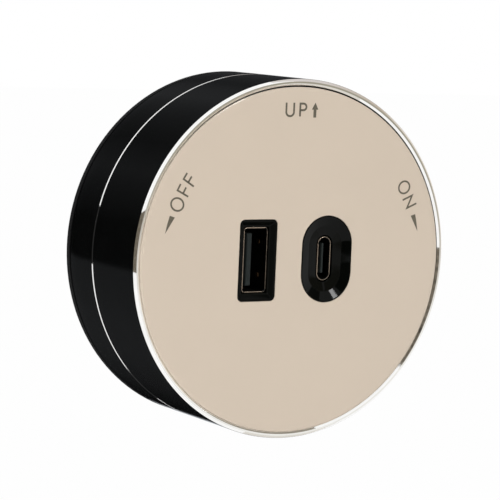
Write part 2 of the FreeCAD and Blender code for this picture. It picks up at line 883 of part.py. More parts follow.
def make_face_panel():
    """Glossy face with its front edge rounded over."""
    body = new_body("face_panel")
    disc = new_sketch(body, "Disc", depth=PANEL_REAR)
    draw_circle(disc, "0", "0", PANEL_RADIUS)
    solid = pad(body, disc, "panel_thick")
    round_edges(body, solid, ring_edges(solid.Shape, PANEL_RADIUS, PANEL_FRONT), "panel_edge")
    cut_port_holes(body, "Port", PANEL_FRONT, "panel_thick")


def make_carrier_screws():
    """Three screws through the carrier into the pillars, hidden by the face."""
    spots = [on_circle(PILLAR_PLACE, angle) for angle in PILLAR_ANGLES]
    reach = "carrier_thick - carrier_sink + screw_bite"
    pan_screws("carrier_screws", spots, f"({PANEL_REAR} - carrier_sink)", reach, "head_large")


def make_board_spacers():
    """Tubes on the pillars that hold the power board down."""
    spacers = []
    for number, angle in enumerate(PILLAR_ANGLES):
        across, up = on_circle(PILLAR_PLACE, angle)
        inner = "(pillar_radius + slip)"
        length = f"{CARRIER_REAR} - {BOARD_FRONT}"
        outer = f"{inner} + spacer_wall"
        spacers.append(tube(f"Spacer{number}", outer, inner, length, across, up, BOARD_FRONT))
    gather("board_spacers", spacers)


# Contacts


def make_contact_spindle():
    """Insulator that hangs from the posts through the hub, bored for the pin and slotted for the strips."""
    body = new_body("contact_spindle")
    turn_outline(
        body,
        "Spindle",
        [
            (SPINDLE_BORE, "-arm_level"),
            ("spindle_radius", "-arm_level"),
            ("spindle_radius", SHAFT_STEP),
            ("shaft_radius", SHAFT_STEP),
            ("shaft_radius", FLANGE_REAR),
            ("spindle_flange", FLANGE_REAR),
            ("spindle_flange", FLANGE_FRONT),
            (SPINDLE_BORE, FLANGE_FRONT),
        ],
    )
    slots = new_sketch(body, "Slots")
    for side in ("-", ""):
        wide, tall = "(strip_thick + 2 * slip)", "(strip_width + 2 * slip)"
        draw_rectangle(slots, f"{side}strip_place", "0", wide, tall)
    pocket(body, slots)
    for number, angle in enumerate(POST_ANGLES):
        across, up = on_circle("post_place", angle)
        hole = new_sketch(body, f"Hole{number}")
        draw_circle(hole, across, up, "screw_hole + hole_clear")
        pocket(body, hole)


def make_spindle_screws():
    spots = [on_circle("post_place", angle) for angle in POST_ANGLES]
    reach = "flange_thick + post_height - pilot_spare"
    pan_screws("spindle_screws", spots, FLANGE_FRONT, reach, "head_small")


def make_spindle_cap():
    """Cap that clamps the arms to the end of the spindle and guides the earth pin."""
    bore = "pin_radius + bearing_clear"
    rear = f"-({ARM_REAR} + cap_height)"
    keep(tube("SpindleCap", "spindle_radius", bore, "cap_height", "0", "0", rear), "spindle_cap")


def make_mains_contact(name, side):
    """Brass strip that rises through the spindle to the board, with a round-ended arm behind."""
    mark = name.title().replace("_", "")
    rise = block(
        f"{mark}Rise",
        "strip_thick",
        "strip_width",
        f"{BOARD_FRONT} + arm_level + strip_thick",
        f"{side}strip_place",
        "0",
        f"-{ARM_REAR}",
    )
    inner = "(strip_place - strip_thick / 2)"
    end = "(arm_reach - arm_width / 2)"
    arm = block(
        f"{mark}Arm",
        f"{end} - {inner}",
        "arm_width",
        "strip_thick",
        f"{side}({end} + {inner}) / 2",
        "0",
        f"-{ARM_REAR}",
    )
    tip = rod(f"{mark}Tip", "arm_width / 2", "strip_thick", f"{side}{end}", "0", f"-{ARM_REAR}")
    keep(join(mark, [rise, arm, tip]), name)


def make_earth_parts():
    """Sprung earth pin, its coil spring, and the strap that seats the spring and rises to the board."""
    pin_rear = f"({ARM_REAR} - bearing_clear)"
    collar = rod("PinCollar", "pin_collar", "collar_length", "0", "0", f"-{pin_rear}")
    stem_length = f"(pin_reach - pin_nose - {pin_rear})"
    stem = rod("PinStem", "pin_radius", stem_length, "0", "0", "-(pin_reach - pin_nose)")
    nose = taper("PinNose", "pin_radius - pin_nose", "pin_radius", "pin_nose", "0", "0", "-pin_reach")
    keep(join("EarthPin", [collar, stem, nose]), "earth_pin")

    rear = f"({pin_rear} - collar_length)"
    body = new_body("earth_spring")
    wire = new_sketch(body, "Wire", "XY_Plane")
    draw_circle(wire, "spring_radius", f"-({FLANGE_FRONT} - spring_wire / 2)", "spring_wire / 2")
    coil = body.newObject("PartDesign::AdditiveHelix", "SpringCoil")
    coil.Profile = wire
    coil.ReferenceAxis = (wire, ["V_Axis"])
    coil.Mode = "pitch-height-angle"
    coil.setExpression("Pitch", bound("spring_pitch"))
    coil.setExpression("Height", bound(f"{FLANGE_FRONT} + {rear} - spring_wire"))

    length = "(strap_length + strip_width / 2)"
    middle = "(strap_length - strip_width / 2) / 2"
    seat = block("StrapSeat", "strip_width", length, "strap_thick", "0", middle, FLANGE_FRONT)
    rise = f"{BOARD_FRONT} - {FLANGE_FRONT}"
    tab_place = "strap_length - strap_thick / 2"
    tab = block("StrapTab", "strip_width", "strap_thick", rise, "0", tab_place, FLANGE_FRONT)
    keep(join("EarthStrap", [seat, tab]), "earth_strap")


# Converter


def make_power_board():
    """Round board on the pillars' shoulders, slotted for the contact strips and the strap."""
    body = new_body("power_board")
    disc = new_sketch(body, "Disc", depth=BOARD_REAR)
    draw_circle(disc, "0", "0", BOARD_RADIUS)
    pad(body, disc, "board_thick")
    for number, angle in enumerate(PILLAR_ANGLES):
        across, up = on_circle(PILLAR_PLACE, angle)
        hole = new_sketch(body, f"Hole{number}", depth=BOARD_FRONT)
        draw_circle(hole, across, up, "pillar_radius + slip")
        pocket(body, hole, "board_thick")
    slots = new_sketch(body, "Slots", depth=BOARD_FRONT)
    for side in ("-", ""):
        wide, tall = "(strip_thick + 2 * slip)", "(strip_width + 2 * slip)"
        draw_rectangle(slots, f"{side}strip_place", "0", wide, tall)
    wide, tall = "(strip_width + 2 * slip)", "(strap_thick + 2 * slip)"
    draw_rectangle(slots, "0", "strap_length - strap_thick / 2", wide, tall)
    pocket(body, slots, "board_thick")


def make_transformer():
    """Ferrite frame with a round middle leg, a flanged bobbin on the leg and the winding on the bobbin."""
    place = ("0", "core_place")
    frame = block("CoreFrame", "core_wide", "core_thick", "core_deep", *place, BOARD_FRONT)
    window = block(
        "CoreWindow",
        "core_wide - 2 * core_leg",
        "core_thick",
        "core_deep - 2 * core_yoke",
        *place,
        f"{BOARD_FRONT} + core_yoke",
    )
    leg = rod("CoreLeg", "core_centre", "core_deep", *place, BOARD_FRONT)
    keep(join("TransformerCore", [cut("CoreOpened", frame, window), leg]), "transformer_core")
    inside = "(core_deep - 2 * core_yoke)"
    start = f"({BOARD_FRONT} + core_yoke)"
    spool = join(
        "BobbinSpool",
        [
            rod("BobbinTube", "core_centre + slip + bobbin_wall", inside, *place, start),
            rod("BobbinRear", "bobbin_flange", "bobbin_wall", *place, start),
            rod("BobbinFront", "bobbin_flange", "bobbin_wall", *place, f"{start} + {inside} - bobbin_wall"),
        ],
    )
    hollow = rod("BobbinBore", "core_centre + slip", inside, *place, start)
    keep(cut("TransformerBobbin", spool, hollow), "transformer_bobbin")
    winding = tube(
        "TransformerWinding",
        "winding_radius",
        "core_centre + slip + bobbin_wall",
        f"{inside} - 2 * bobbin_wall",
        *place,
        f"{start} + bobbin_wall",
    )
    keep(winding, "transformer_winding")


def make_mains_components():
    """Parts on the front of the power board."""
    cans = []
    for number, side in enumerate(("-", "")):
        across, up = f"{side}capacitor_across", "-capacitor_down"
        can = rod(f"Can{number}", "capacitor_radius", "capacitor_length", across, up, BOARD_FRONT)
        crimp = tube(
            f"Crimp{number}",
            "capacitor_radius + slip",
            "capacitor_radius - capacitor_crimp",
            "crimp_wide",
            across,
            up,
            f"{BOARD_FRONT} + crimp_up",
        )
        cans.append(cut(f"Capacitor{number}", can, crimp))
    gather("input_capacitors", cans)
    spot = ("-choke_across", "-choke_down")
    barrel = "choke_length - choke_end"
    choke = join(
        "InputChoke",
        [
            rod("ChokeRear", "choke_radius", "choke_end", *spot, BOARD_FRONT),
            rod("ChokeBarrel", "choke_waist", barrel, *spot, BOARD_FRONT),
            rod("ChokeFront", "choke_radius", "choke_end", *spot, f"{BOARD_FRONT} + {barrel}"),
        ],
    )
    keep(choke, "input_choke")
    spot = ("-fuse_across", "fuse_up")
    fuse = join(
        "Fuse",
        [
            rod("FuseBody", "fuse_radius", "fuse_length", *spot, BOARD_FRONT),
            rod("FuseCap", "fuse_cap", "fuse_cap_length", *spot, f"{BOARD_FRONT} + fuse_length"),
        ],
    )
    keep(fuse, "fuse")
    size = ("y_cap_wide", "y_cap_thick", "y_cap_height")
    keep(block("YCapacitor", *size, "y_cap_across", "y_cap_up", BOARD_FRONT), "y_capacitor")
    size = ("bridge_wide", "bridge_tall", "bridge_thick")
    left = f"-({STANDOFF_ACROSS} - standoff_radius - bridge_clear - bridge_wide / 2)"
    keep(block("BridgeRectifier", *size, left, "-bridge_down", BOARD_FRONT), "bridge_rectifier")
    size = ("chip_wide", "chip_tall", "chip_thick")
    keep(block("PrimaryController", *size, "chip_across", "-chip_down", BOARD_FRONT), "primary_controller")
    size = ("header_wide", "header_thick", "output_gap")
    down = "-(output_tall / 2 - header_inset)"
    keep(block("LinkHeader", *size, "0", down, BOARD_FRONT), "link_header")
    reach = f"({SLEEVE_BORE} - slip - {LEAF_PLACE})"
    tip = f"{BOARD_FRONT} + leaf_height - leaf_thick"
    foot_place = f"{LEAF_PLACE} + leaf_thick - leaf_foot / 2"
    leaf = join(
        "EarthingLeaf",
        [
            block("LeafFoot", "leaf_foot", "leaf_wide", "leaf_thick", foot_place, "0", BOARD_FRONT),
            block(
                "LeafRise",
                "leaf_thick",
                "leaf_wide",
                "leaf_height",
                f"{LEAF_PLACE} + leaf_thick / 2",
                "0",
                BOARD_FRONT,
            ),
            block("LeafFinger", reach, "leaf_wide", "leaf_thick", f"{LEAF_PLACE} + {reach} / 2", "0", tip),
        ],
    )
    keep(leaf, "earthing_leaf")


def make_output_board():
    """Board behind the face that carries both sockets, with its standoffs, screws and parts."""
    body = new_body("output_board")
    plate = new_sketch(body, "Plate", depth=OUTPUT_REAR)
    draw_rectangle(plate, "0", "0", "output_wide", "output_tall")
    pad(body, plate, "output_thick")
    spots = [(f"{i}{STANDOFF_ACROSS}", f"{j}{STANDOFF_UP}") for i in ("-", "") for j in ("-", "")]
    standoffs = []
    for number, (across, up) in enumerate(spots):
        hole = new_sketch(body, f"Hole{number}", depth=OUTPUT_FRONT)
        draw_circle(hole, across, up, "screw_hole + hole_clear")
        pocket(body, hole, "output_thick")
        radii = ("standoff_radius", "screw_hole")
        standoffs.append(tube(f"Standoff{number}", *radii, "output_gap", across, up, BOARD_FRONT))
    gather("board_standoffs", standoffs)
    pan_screws("board_screws", spots, OUTPUT_FRONT, "output_thick + output_gap - head_clear", "head_small")
    size = ("charger_side", "charger_side", "charger_thick")
    keep(block("ChargeController", *size, "0", "-charger_down", OUTPUT_FRONT), "charge_controller")
    size = ("output_cap_radius", "output_cap_height")
    keep(rod("OutputCapacitor", *size, "0", "output_cap_up", OUTPUT_FRONT), "output_capacitor")


# Sockets


def make_bezel_blank(name, draw_outline, draw_flange):
    """A bezel's outline up to the face and the flange that sits behind the carrier."""
    body = new_body(name)
    flange = new_sketch(body, "Flange", depth=f"{CARRIER_REAR} - bezel_flange")
    draw_flange(flange)
    pad(body, flange, "bezel_flange")
    outline = new_sketch(body, "Outline", depth=f"{CARRIER_REAR} - bezel_flange")
    draw_outline(outline)
    solid = pad(body, outline, f"{PANEL_FRONT} - {CARRIER_REAR} + bezel_flange")
    return body, solid


def make_usb_a():
    """Upright USB-A socket: bezel with a mitred funnel, sprung metal shell, tongue and four contacts."""
    wide, tall = "(a_shell_wide + 2 * slip)", "(a_shell_tall + 2 * slip)"
    flange_wide = "(a_bezel_wide + 2 * flange_margin)"
    flange_tall = "(a_bezel_tall + 2 * flange_margin)"
    body, solid = make_bezel_blank(
        "usb_a_bezel",
        lambda sketch: draw_rectangle(sketch, "-a_place", "0", "a_bezel_wide", "a_bezel_tall"),
        lambda sketch: draw_rectangle(sketch, "-a_place", "0", flange_wide, flange_tall),
    )
    solid = round_corners(body, solid, "-a_place", "a_bezel_wide", "a_bezel_tall", "a_bezel_corner")
    bore = new_sketch(body, "Bore", depth=A_MOUTH)
    draw_rectangle(bore, "-a_place", "0", wide, tall)
    pocket(body, bore, f"{A_MOUTH} - {CARRIER_REAR} + bezel_flange")
    mouth_wide, mouth_tall = "a_bezel_wide - 2 * a_rim", "a_bezel_tall - 2 * a_rim"
    funnel(
        body,
        "Funnel",
        lambda sketch: draw_rectangle(sketch, "-a_place", "0", mouth_wide, mouth_tall),
        PANEL_FRONT,
        lambda sketch: draw_rectangle(sketch, "-a_place", "0", wide, tall),
        A_MOUTH,
    )

    body = new_body("usb_a_shell")
    outline = new_sketch(body, "Outline", depth=OUTPUT_FRONT)
    draw_rectangle(outline, "-a_place", "0", "a_shell_wide", "a_shell_tall")
    solid = pad(body, outline, f"{A_MOUTH} - {OUTPUT_FRONT}")
    round_corners(body, solid, "-a_place", "a_shell_wide", "a_shell_tall", "a_shell_corner")
    inner_wide, inner_tall = "(a_shell_wide - 2 * a_wall)", "(a_shell_tall - 2 * a_wall)"
    cavity = new_sketch(body, "Cavity", depth=A_MOUTH)
    draw_rectangle(cavity, "-a_place", "0", inner_wide, inner_tall)
    cutting = pocket(body, cavity, f"{A_MOUTH} - {OUTPUT_FRONT} - a_wall")
    round_corners(body, cutting, "-a_place", inner_wide, inner_tall, "a_shell_corner - a_wall")
    wall = "(-a_place + a_shell_wide / 2 - a_wall)"
    for number, side in enumerate(("-", "")):
        dimple = new_sketch(body, f"Dimple{number}", "XY_Plane", depth=f"{side}a_dimple_up")
        dimple.setExpression("AttachmentOffset.Base.y", bound(f"-({A_MOUTH} - a_dimple_sink)"))
        draw_polygon(
            dimple,
            [
                (f"{wall} + a_wall / 2", "0"),
                (f"{wall} + a_wall / 2", "a_dimple_radius"),
                (wall, "a_dimple_radius"),
                (f"{wall} - a_dimple_height * 0.75", "a_dimple_radius * 0.6"),
                (f"{wall} - a_dimple_height", "a_dimple_radius * 0.25"),
                (f"{wall} - a_dimple_height", "0"),
            ],
        )
        dome = body.newObject("PartDesign::Revolution", f"{dimple.Name}Dome")
        dome.Profile = dimple
        dome.ReferenceAxis = (dimple, ["H_Axis"])
        dome.Angle = 360
        document.recompute()

    left = "(-a_place - a_shell_wide / 2 + a_wall + a_behind_tongue)"
    root = f"({OUTPUT_FRONT} + a_wall)"
    face = f"({left} + a_tongue_thick)"
    length = f"{A_MOUTH} - a_tongue_sink - {root}"
    middle = f"{left} + a_tongue_thick / 2"
    bar = document.addObject("Part::Chamfer", "TongueBar")
    bar.Base = block("TongueBlank", "a_tongue_thick", "a_tongue_tall", length, middle, "0", root)
    document.recompute()
    tip = value(A_MOUTH) - value("a_tongue_sink")
    edges = [
        place
        for place, edge in enumerate(bar.Base.Shape.Edges, start=1)
        if edge.BoundBox.YLength < 1e-4 and abs(edge.BoundBox.YMin + tip) < 1e-3
    ]
    bar.Edges = [(place, SIZES["a_tongue_edge"], SIZES["a_tongue_edge"]) for place in edges]
    foot = block(
        "TongueFoot",
        "a_shell_wide - 2 * a_wall - 2 * slip",
        "a_shell_tall - 2 * a_wall - 2 * a_root_inset",
        "a_root_length",
        "-a_place",
        "0",
        root,
    )
    grooves, strips = [], []
    places = ("-a_contact_far", "-a_contact_near", "a_contact_near", "a_contact_far")
    for number, up in enumerate(places):
        strip_length = f"({length} - a_contact_stop)"
        spot = (f"{face} - a_contact_thick / 2", up, f"{root} + a_root_length")
        groove_size = ("a_contact_thick", "a_contact_wide + 2 * slip", f"{strip_length} + 2 * slip")
        grooves.append(block(f"TongueGroove{number}", *groove_size, *spot))
        strip = block(f"StripA{number}", "a_contact_thick", "a_contact_wide", strip_length, *spot)
        size = ("a_contact_bump", "a_contact_wide", "a_contact_stop")
        bump_start = f"{root} + {strip_length} - a_contact_stop"
        bump = block(f"BumpA{number}", *size, f"{face} + a_contact_bump / 2", up, bump_start)
        strips.append(join(f"ContactA{number}", [strip, bump]))
    tongue = cut("UsbATongue", join("TongueWhole", [bar, foot]), join("TongueGrooves", grooves))
    keep(tongue, "usb_a_tongue")
    gather("usb_a_contacts", strips)


def make_usb_c():
    """Upright USB-C socket: round-ended bezel with a dished funnel, tubular shell, tongue and contacts."""
    wide, tall = "(c_shell_wide + 2 * c_shell_gap)", "(c_shell_tall + 2 * c_shell_gap)"
    flange_wide = "(c_bezel_wide + 2 * flange_margin)"
    flange_tall = "(c_bezel_tall + 2 * flange_margin)"
    body, solid = make_bezel_blank(
        "usb_c_bezel",
        lambda sketch: draw_slot(sketch, "c_place", "0", "c_bezel_wide", "c_bezel_tall", True),
        lambda sketch: draw_slot(sketch, "c_place", "0", flange_wide, flange_tall, True),
    )
    bore = new_sketch(body, "Bore", depth=C_MOUTH)
    draw_slot(bore, "c_place", "0", wide, tall, True)
    pocket(body, bore, f"{C_MOUTH} - {CARRIER_REAR} + bezel_flange")
    rim = ("(c_bezel_wide - 2 * c_rim)", "(c_bezel_tall - 2 * c_rim)")
    dish = ("(c_bezel_wide - 2 * c_dish_inset)", "(c_bezel_tall - 2 * c_dish_inset)")
    for name, outer, outer_depth, inner, inner_depth in (
        ("Throat", dish, f"{PANEL_FRONT} - c_dish_depth", (wide, tall), C_MOUTH),
        ("Dish", rim, PANEL_FRONT, dish, f"{PANEL_FRONT} - c_dish_depth"),
    ):
        funnel(
            body,
            name,
            lambda sketch, size=outer: draw_slot(sketch, "c_place", "0", *size, True),
            outer_depth,
            lambda sketch, size=inner: draw_slot(sketch, "c_place", "0", *size, True),
            inner_depth,
        )

    body = new_body("usb_c_shell")
    outline = new_sketch(body, "Outline", depth=OUTPUT_FRONT)
    draw_slot(outline, "c_place", "0", "c_shell_wide", "c_shell_tall", True)
    pad(body, outline, f"{C_MOUTH} - {OUTPUT_FRONT}")
    cavity = new_sketch(body, "Cavity", depth=C_MOUTH)
    draw_slot(cavity, "c_place", "0", "(c_shell_wide - 2 * c_wall)", "(c_shell_tall - 2 * c_wall)", True)
    pocket(body, cavity, f"{C_MOUTH} - {OUTPUT_FRONT} - c_wall")

    root = f"({OUTPUT_FRONT} + c_wall)"
    root_depth = f"({C_MOUTH} - c_root_sink - {root})"
    length = f"({C_MOUTH} - c_tongue_sink - {root})"
    body = new_body("usb_c_tongue")
    foot = new_sketch(body, "Root", depth=root)
    inside = ("(c_shell_wide - 2 * c_wall - 2 * slip)", "(c_shell_tall - 2 * c_wall - 2 * slip)")
    draw_slot(foot, "c_place", "0", *inside, True)
    pad(body, foot, root_depth)
    blade = new_sketch(body, "Blade", depth=root)
    draw_rectangle(blade, "c_place", "0", "c_tongue_thick", "c_tongue_tall")
    pad(body, blade, length)
    strips = []
    for row, side in enumerate(("-", "")):
        across = f"c_place + {side}(c_tongue_thick + c_contact_thick) / 2"
        for number in range(12):
            up = f"{number - 5.5} * c_contact_pitch"
            start = f"{root} + {root_depth}"
            reach = f"{length} - {root_depth} - c_contact_stop"
            size = ("c_contact_thick", "c_contact_wide", reach)
            strips.append(block(f"StripC{row}{number}", *size, across, up, start))
    gather("usb_c_contacts", strips)


make_base_plate()
make_guide_block()
make_guide_screws()
make_washers()
make_retaining_ring()
make_rear_housing()
make_rear_sleeve()
make_front_sleeve()
make_face_carrier()
make_face_panel()
make_carrier_screws()
make_board_spacers()
make_contact_spindle()
make_spindle_screws()
make_spindle_cap()
make_mains_contact("live_contact", "")
make_mains_contact("neutral_contact", "-")
make_earth_parts()
make_power_board()
make_transformer()
make_mains_components()
make_output_board()
make_usb_a()
make_usb_c()
document.recompute()

for item in document.Objects:
    if "Invalid" in item.State or "Error" in item.State:
        raise RuntimeError(f"{item.Name} failed: {item.State}")
for name, node in nodes.items():
    if node.Shape.isNull() or not node.Shape.isValid():
        raise RuntimeError(f"{name} has no valid shape")

os.makedirs("parts", exist_ok=True)
for name, node in nodes.items():
    node.Shape.exportStep(f"parts/{name}.step")
    box = node.Shape.BoundBox
    print(
        f"{name}: {len(node.Shape.Solids)} solid(s), {node.Shape.Volume:.1f} mm3, "
        f"x {box.XMin:.2f} to {box.XMax:.2f}, y {box.YMin:.2f} to {box.YMax:.2f}, "
        f"z {box.ZMin:.2f} to {box.ZMax:.2f}"
    )
print(f"{len(nodes)} nodes")
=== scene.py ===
# %% [markdown]
# # A round adapter that twists onto a mains power track
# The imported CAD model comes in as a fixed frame: every part at its real size, grouped in the bodies that move.
# Blender adds the looks. Parts that show are modelled again with finer edges than CAD meshes have, each in the
# place of its CAD node, and the parts inside keep their CAD mesh and get a finish of their own.
# Sizes below are in millimetres. Depth counts from the rear seat towards the face, so depth 10 is y = -0.010.

import json
import math

import bmesh
import bpy
from mathutils import Matrix, Vector

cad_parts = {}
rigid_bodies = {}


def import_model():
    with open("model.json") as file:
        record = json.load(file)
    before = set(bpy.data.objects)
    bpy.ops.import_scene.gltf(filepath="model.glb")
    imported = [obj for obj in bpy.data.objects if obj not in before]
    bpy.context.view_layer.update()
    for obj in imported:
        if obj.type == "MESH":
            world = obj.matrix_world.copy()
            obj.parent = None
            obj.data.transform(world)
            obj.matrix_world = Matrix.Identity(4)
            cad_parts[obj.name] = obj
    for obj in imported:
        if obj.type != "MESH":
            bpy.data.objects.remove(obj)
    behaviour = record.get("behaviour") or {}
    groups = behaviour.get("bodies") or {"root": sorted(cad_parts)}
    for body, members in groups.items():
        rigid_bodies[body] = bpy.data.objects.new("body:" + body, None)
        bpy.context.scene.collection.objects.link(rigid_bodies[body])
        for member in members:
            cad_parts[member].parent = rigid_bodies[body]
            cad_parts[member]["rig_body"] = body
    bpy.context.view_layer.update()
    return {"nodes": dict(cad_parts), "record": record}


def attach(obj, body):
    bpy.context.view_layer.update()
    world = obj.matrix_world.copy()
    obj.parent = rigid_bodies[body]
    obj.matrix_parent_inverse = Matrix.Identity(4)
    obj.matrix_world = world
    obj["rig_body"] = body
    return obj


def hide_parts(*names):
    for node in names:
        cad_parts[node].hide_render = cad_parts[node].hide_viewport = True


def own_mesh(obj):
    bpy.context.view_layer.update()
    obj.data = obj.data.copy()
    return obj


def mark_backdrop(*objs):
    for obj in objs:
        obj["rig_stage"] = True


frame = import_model()
MM = 0.001

# %% [markdown]
# ## The camera
# The photograph looks at the adapter from its front left and a little above, through a long lens. The place and
# the angles were found by fitting the round edges and both sockets. A new camera looks straight down, so it is first
# rolled, then tipped up to the level line and its pitch, and then turned to the side.

# %% Place the camera
EYE = Vector((-0.261226, -0.450166, 0.054591))
YAW, PITCH, ROLL = (math.radians(angle) for angle in (30.8, -6.108, 2.473))
LENS, SENSOR, NEAREST = 180.276, 36.0, 0.05

bpy.ops.object.camera_add()
camera = bpy.context.object
camera.data.lens = LENS
camera.data.sensor_width = SENSOR
camera.data.clip_start = NEAREST
tipped = Matrix.Rotation(math.pi / 2 + PITCH, 4, "X") @ Matrix.Rotation(ROLL, 4, "Z")
camera.matrix_world = Matrix.Translation(EYE) @ Matrix.Rotation(-YAW, 4, "Z") @ tipped
bpy.context.scene.camera = camera
print("camera", tuple(round(v, 4) for v in camera.location))

# %% [markdown]
# ## Ways of working that every piece shares
# An operator acts on whatever is selected, so each step first selects exactly what it is for. A new primitive is
# the only thing selected, and its place goes into its mesh at once, so every finished piece sits at the origin.

# %% Selecting, and edit mode
def only(piece):
    """Leaves one object selected and active."""
    bpy.ops.object.select_all(action="DESELECT")
    piece.select_set(True)
    bpy.context.view_layer.objects.active = piece


def open_mesh():
    """Goes into edit mode with all of the mesh selected."""
    bpy.ops.object.mode_set(mode="EDIT")
    bpy.ops.mesh.select_all(action="SELECT")


def close_mesh():
    """Goes back to object mode."""
    bpy.ops.object.mode_set(mode="OBJECT")


def added():
    """Puts a new primitive's place into its mesh and opens the mesh with all of it selected."""
    bpy.ops.object.transform_apply(location=True, rotation=True, scale=True)
    open_mesh()
    return bpy.context.object


# %% [markdown]
# Vertices, edges and faces are picked by their place, read from the mesh while it is being edited. Modifiers round,
# cut and thicken, and each is applied at once, so that a piece is plain mesh when it is done.

# %% Picking, and modifiers
def pick(kind, test):
    """In edit mode, selects the vertices, edges or faces for which the test holds, and counts them."""
    bpy.ops.mesh.select_mode(type=kind[:-1].upper())
    bpy.ops.mesh.select_all(action="DESELECT")
    mesh = bmesh.from_edit_mesh(bpy.context.object.data)
    chosen = [item for item in getattr(mesh, kind) if test(item)]
    for item in chosen:
        item.select_set(True)
    mesh.select_flush_mode()
    bmesh.update_edit_mesh(bpy.context.object.data)
    return len(chosen)


def apply_modifier(piece, kind, **settings):
    """Adds a modifier with its settings and applies it."""
    only(piece)
    modifier = piece.modifiers.new(kind.title(), kind)
    for name, setting in settings.items():
        setattr(modifier, name, setting)
    bpy.ops.object.modifier_apply(modifier=modifier.name)


# %% [markdown]
# The last step of every piece welds what lies together, turns its faces outwards and shades it smooth, apart from
# edges that are sharper than 28 degrees. Weighted normals keep large faces flat next to small rounded edges.

# %% Finish a mesh
SMOOTH_BELOW = math.radians(28)
WELD = 0.0005 * MM


def finished(piece, name, weighted=False):
    """Closes and turns a mesh's faces outwards, shades it, and names it."""
    if piece.mode != "EDIT":
        only(piece)
    open_mesh()
    bpy.ops.mesh.remove_doubles(threshold=WELD)
    bpy.ops.mesh.normals_make_consistent(inside=False)
    close_mesh()
    only(piece)
    bpy.ops.object.shade_smooth_by_angle(angle=SMOOTH_BELOW)
    if weighted:
        apply_modifier(piece, "WEIGHTED_NORMAL", weight=100, keep_sharp=True)
    piece.name = piece.data.name = name
    print(f"{name}: {len(piece.data.polygons)} faces")
    return piece


# %% [markdown]
# ## Turned parts
# The sleeves and the face are round about the Y axis. Each starts as a ring of edges that is extruded and resized
# from one point of the outline to the next, as one would pull it up by hand. An open outline is closed by a flat
# face at each end.

# %% Pull a ring along an outline
ROUND = 288


def turned(outline, closed=True, sides=ROUND):
    """Pulls a ring through an outline of (radius, depth), left open in edit mode with its last ring selected."""
    radius, depth = outline[0]
    bpy.ops.mesh.primitive_circle_add(
        vertices=sides, radius=radius * MM, location=(0, -depth * MM, 0), rotation=(math.pi / 2, 0, 0)
    )
    piece = added()
    if not closed:
        bpy.ops.mesh.edge_face_add()
        bpy.ops.mesh.select_mode(type="EDGE")
    path = list(outline) + [outline[0]] * closed
    for (radius, depth), (next_radius, next_depth) in zip(path, path[1:]):
        bpy.ops.mesh.extrude_edges_move(TRANSFORM_OT_translate={"value": (0, (depth - next_depth) * MM, 0)})
        ratio = next_radius / radius
        bpy.ops.transform.resize(value=(ratio, 1, ratio), center_override=(0, -next_depth * MM, 0))
    if not closed:
        bpy.ops.mesh.edge_face_add()
    return piece


def arc(centre, wide, tall, start, end, steps=16):
    """Points on a part of an ellipse, in degrees anticlockwise from straight outwards."""
    angles = [math.radians(start + (end - start) * step / steps) for step in range(steps + 1)]
    return [(centre[0] + wide * math.cos(a), centre[1] + tall * math.sin(a)) for a in angles]


# %% [markdown]
# ## Outlines and lofts
# The sockets' surrounds and shells aren't round, but each slice through them is a rectangle with rounded corners.
# A slice starts as a plane whose corners are bevelled.

# %% A slice
CORNER_STEPS, LEAST_SIDE = 12, 0.002


def slice_loop(wide, tall, corner, depth, across, steps=CORNER_STEPS):
    """A rounded rectangle of edges at a depth, facing the front, with a metre for each millimetre."""
    bpy.ops.mesh.primitive_plane_add(size=1, location=(across, -depth, 0), rotation=(math.pi / 2, 0, 0))
    bpy.context.object.scale = (wide, tall, 1)
    loop = added()
    most = min(wide, tall) / 2 - LEAST_SIDE
    bpy.ops.mesh.bevel(offset=min(corner, most), segments=steps, affect="VERTICES")
    bpy.ops.mesh.select_mode(type="EDGE")
    bpy.ops.mesh.delete(type="ONLY_FACE")
    bpy.ops.mesh.select_all(action="SELECT")
    close_mesh()
    return loop


# %% [markdown]
# Slices with the same number of corner steps are joined and bridged, one after the other, which gives a clean wall
# between any two of them. Bridging tells front from back by the step between two slices, so two slices at the same
# depth get a step of a few thousandths of a millimetre, and the whole loft is built a thousand times too large and
# scaled down at its end, so that such steps still count.

# %% Walls between slices
FLAT_STEP = 0.005


def lofted(slices, across, closed=True, steps=CORNER_STEPS):
    """Bridges slices of (wide, tall, corner, depth) in order. A closed one returns to its first slice."""
    piece = slice_loop(*slices[0], across, steps)
    count = len(piece.data.vertices)
    rest = list(slices[1:]) + [slices[0]] * closed
    last_depth = slices[0][3]
    for wide, tall, corner, depth in rest:
        if depth == last_depth:
            depth -= FLAT_STEP
        loop = slice_loop(wide, tall, corner, depth, across, steps)
        last_depth = depth
        piece.select_set(True)
        bpy.context.view_layer.objects.active = piece
        bpy.ops.object.join()
        open_mesh()
        total = len(piece.data.vertices)
        pick("verts", lambda vertex: vertex.index >= total - 2 * count)
        bpy.ops.mesh.select_mode(type="EDGE")
        bpy.ops.mesh.bridge_edge_loops()
        close_mesh()
    open_mesh()
    if not closed:
        total = len(piece.data.vertices)
        for low, high in ((0, count), (total - count, total)):
            pick("verts", lambda vertex: low <= vertex.index < high)
            bpy.ops.mesh.edge_face_add()
    bpy.ops.mesh.select_all(action="SELECT")
    bpy.ops.transform.resize(value=(MM, MM, MM), center_override=(0, 0, 0))
    close_mesh()
    return piece


# %% [markdown]
# ## Finishes
# Every finish is a node material that reads Object coordinates, so its pattern stays with the part. Effects that
# several finishes share are node groups: fine turning lines, soft mottling, and dust. A group only puts out masks,
# heights and values. The shader stays in the material, with what is the same all over set on its own sockets.

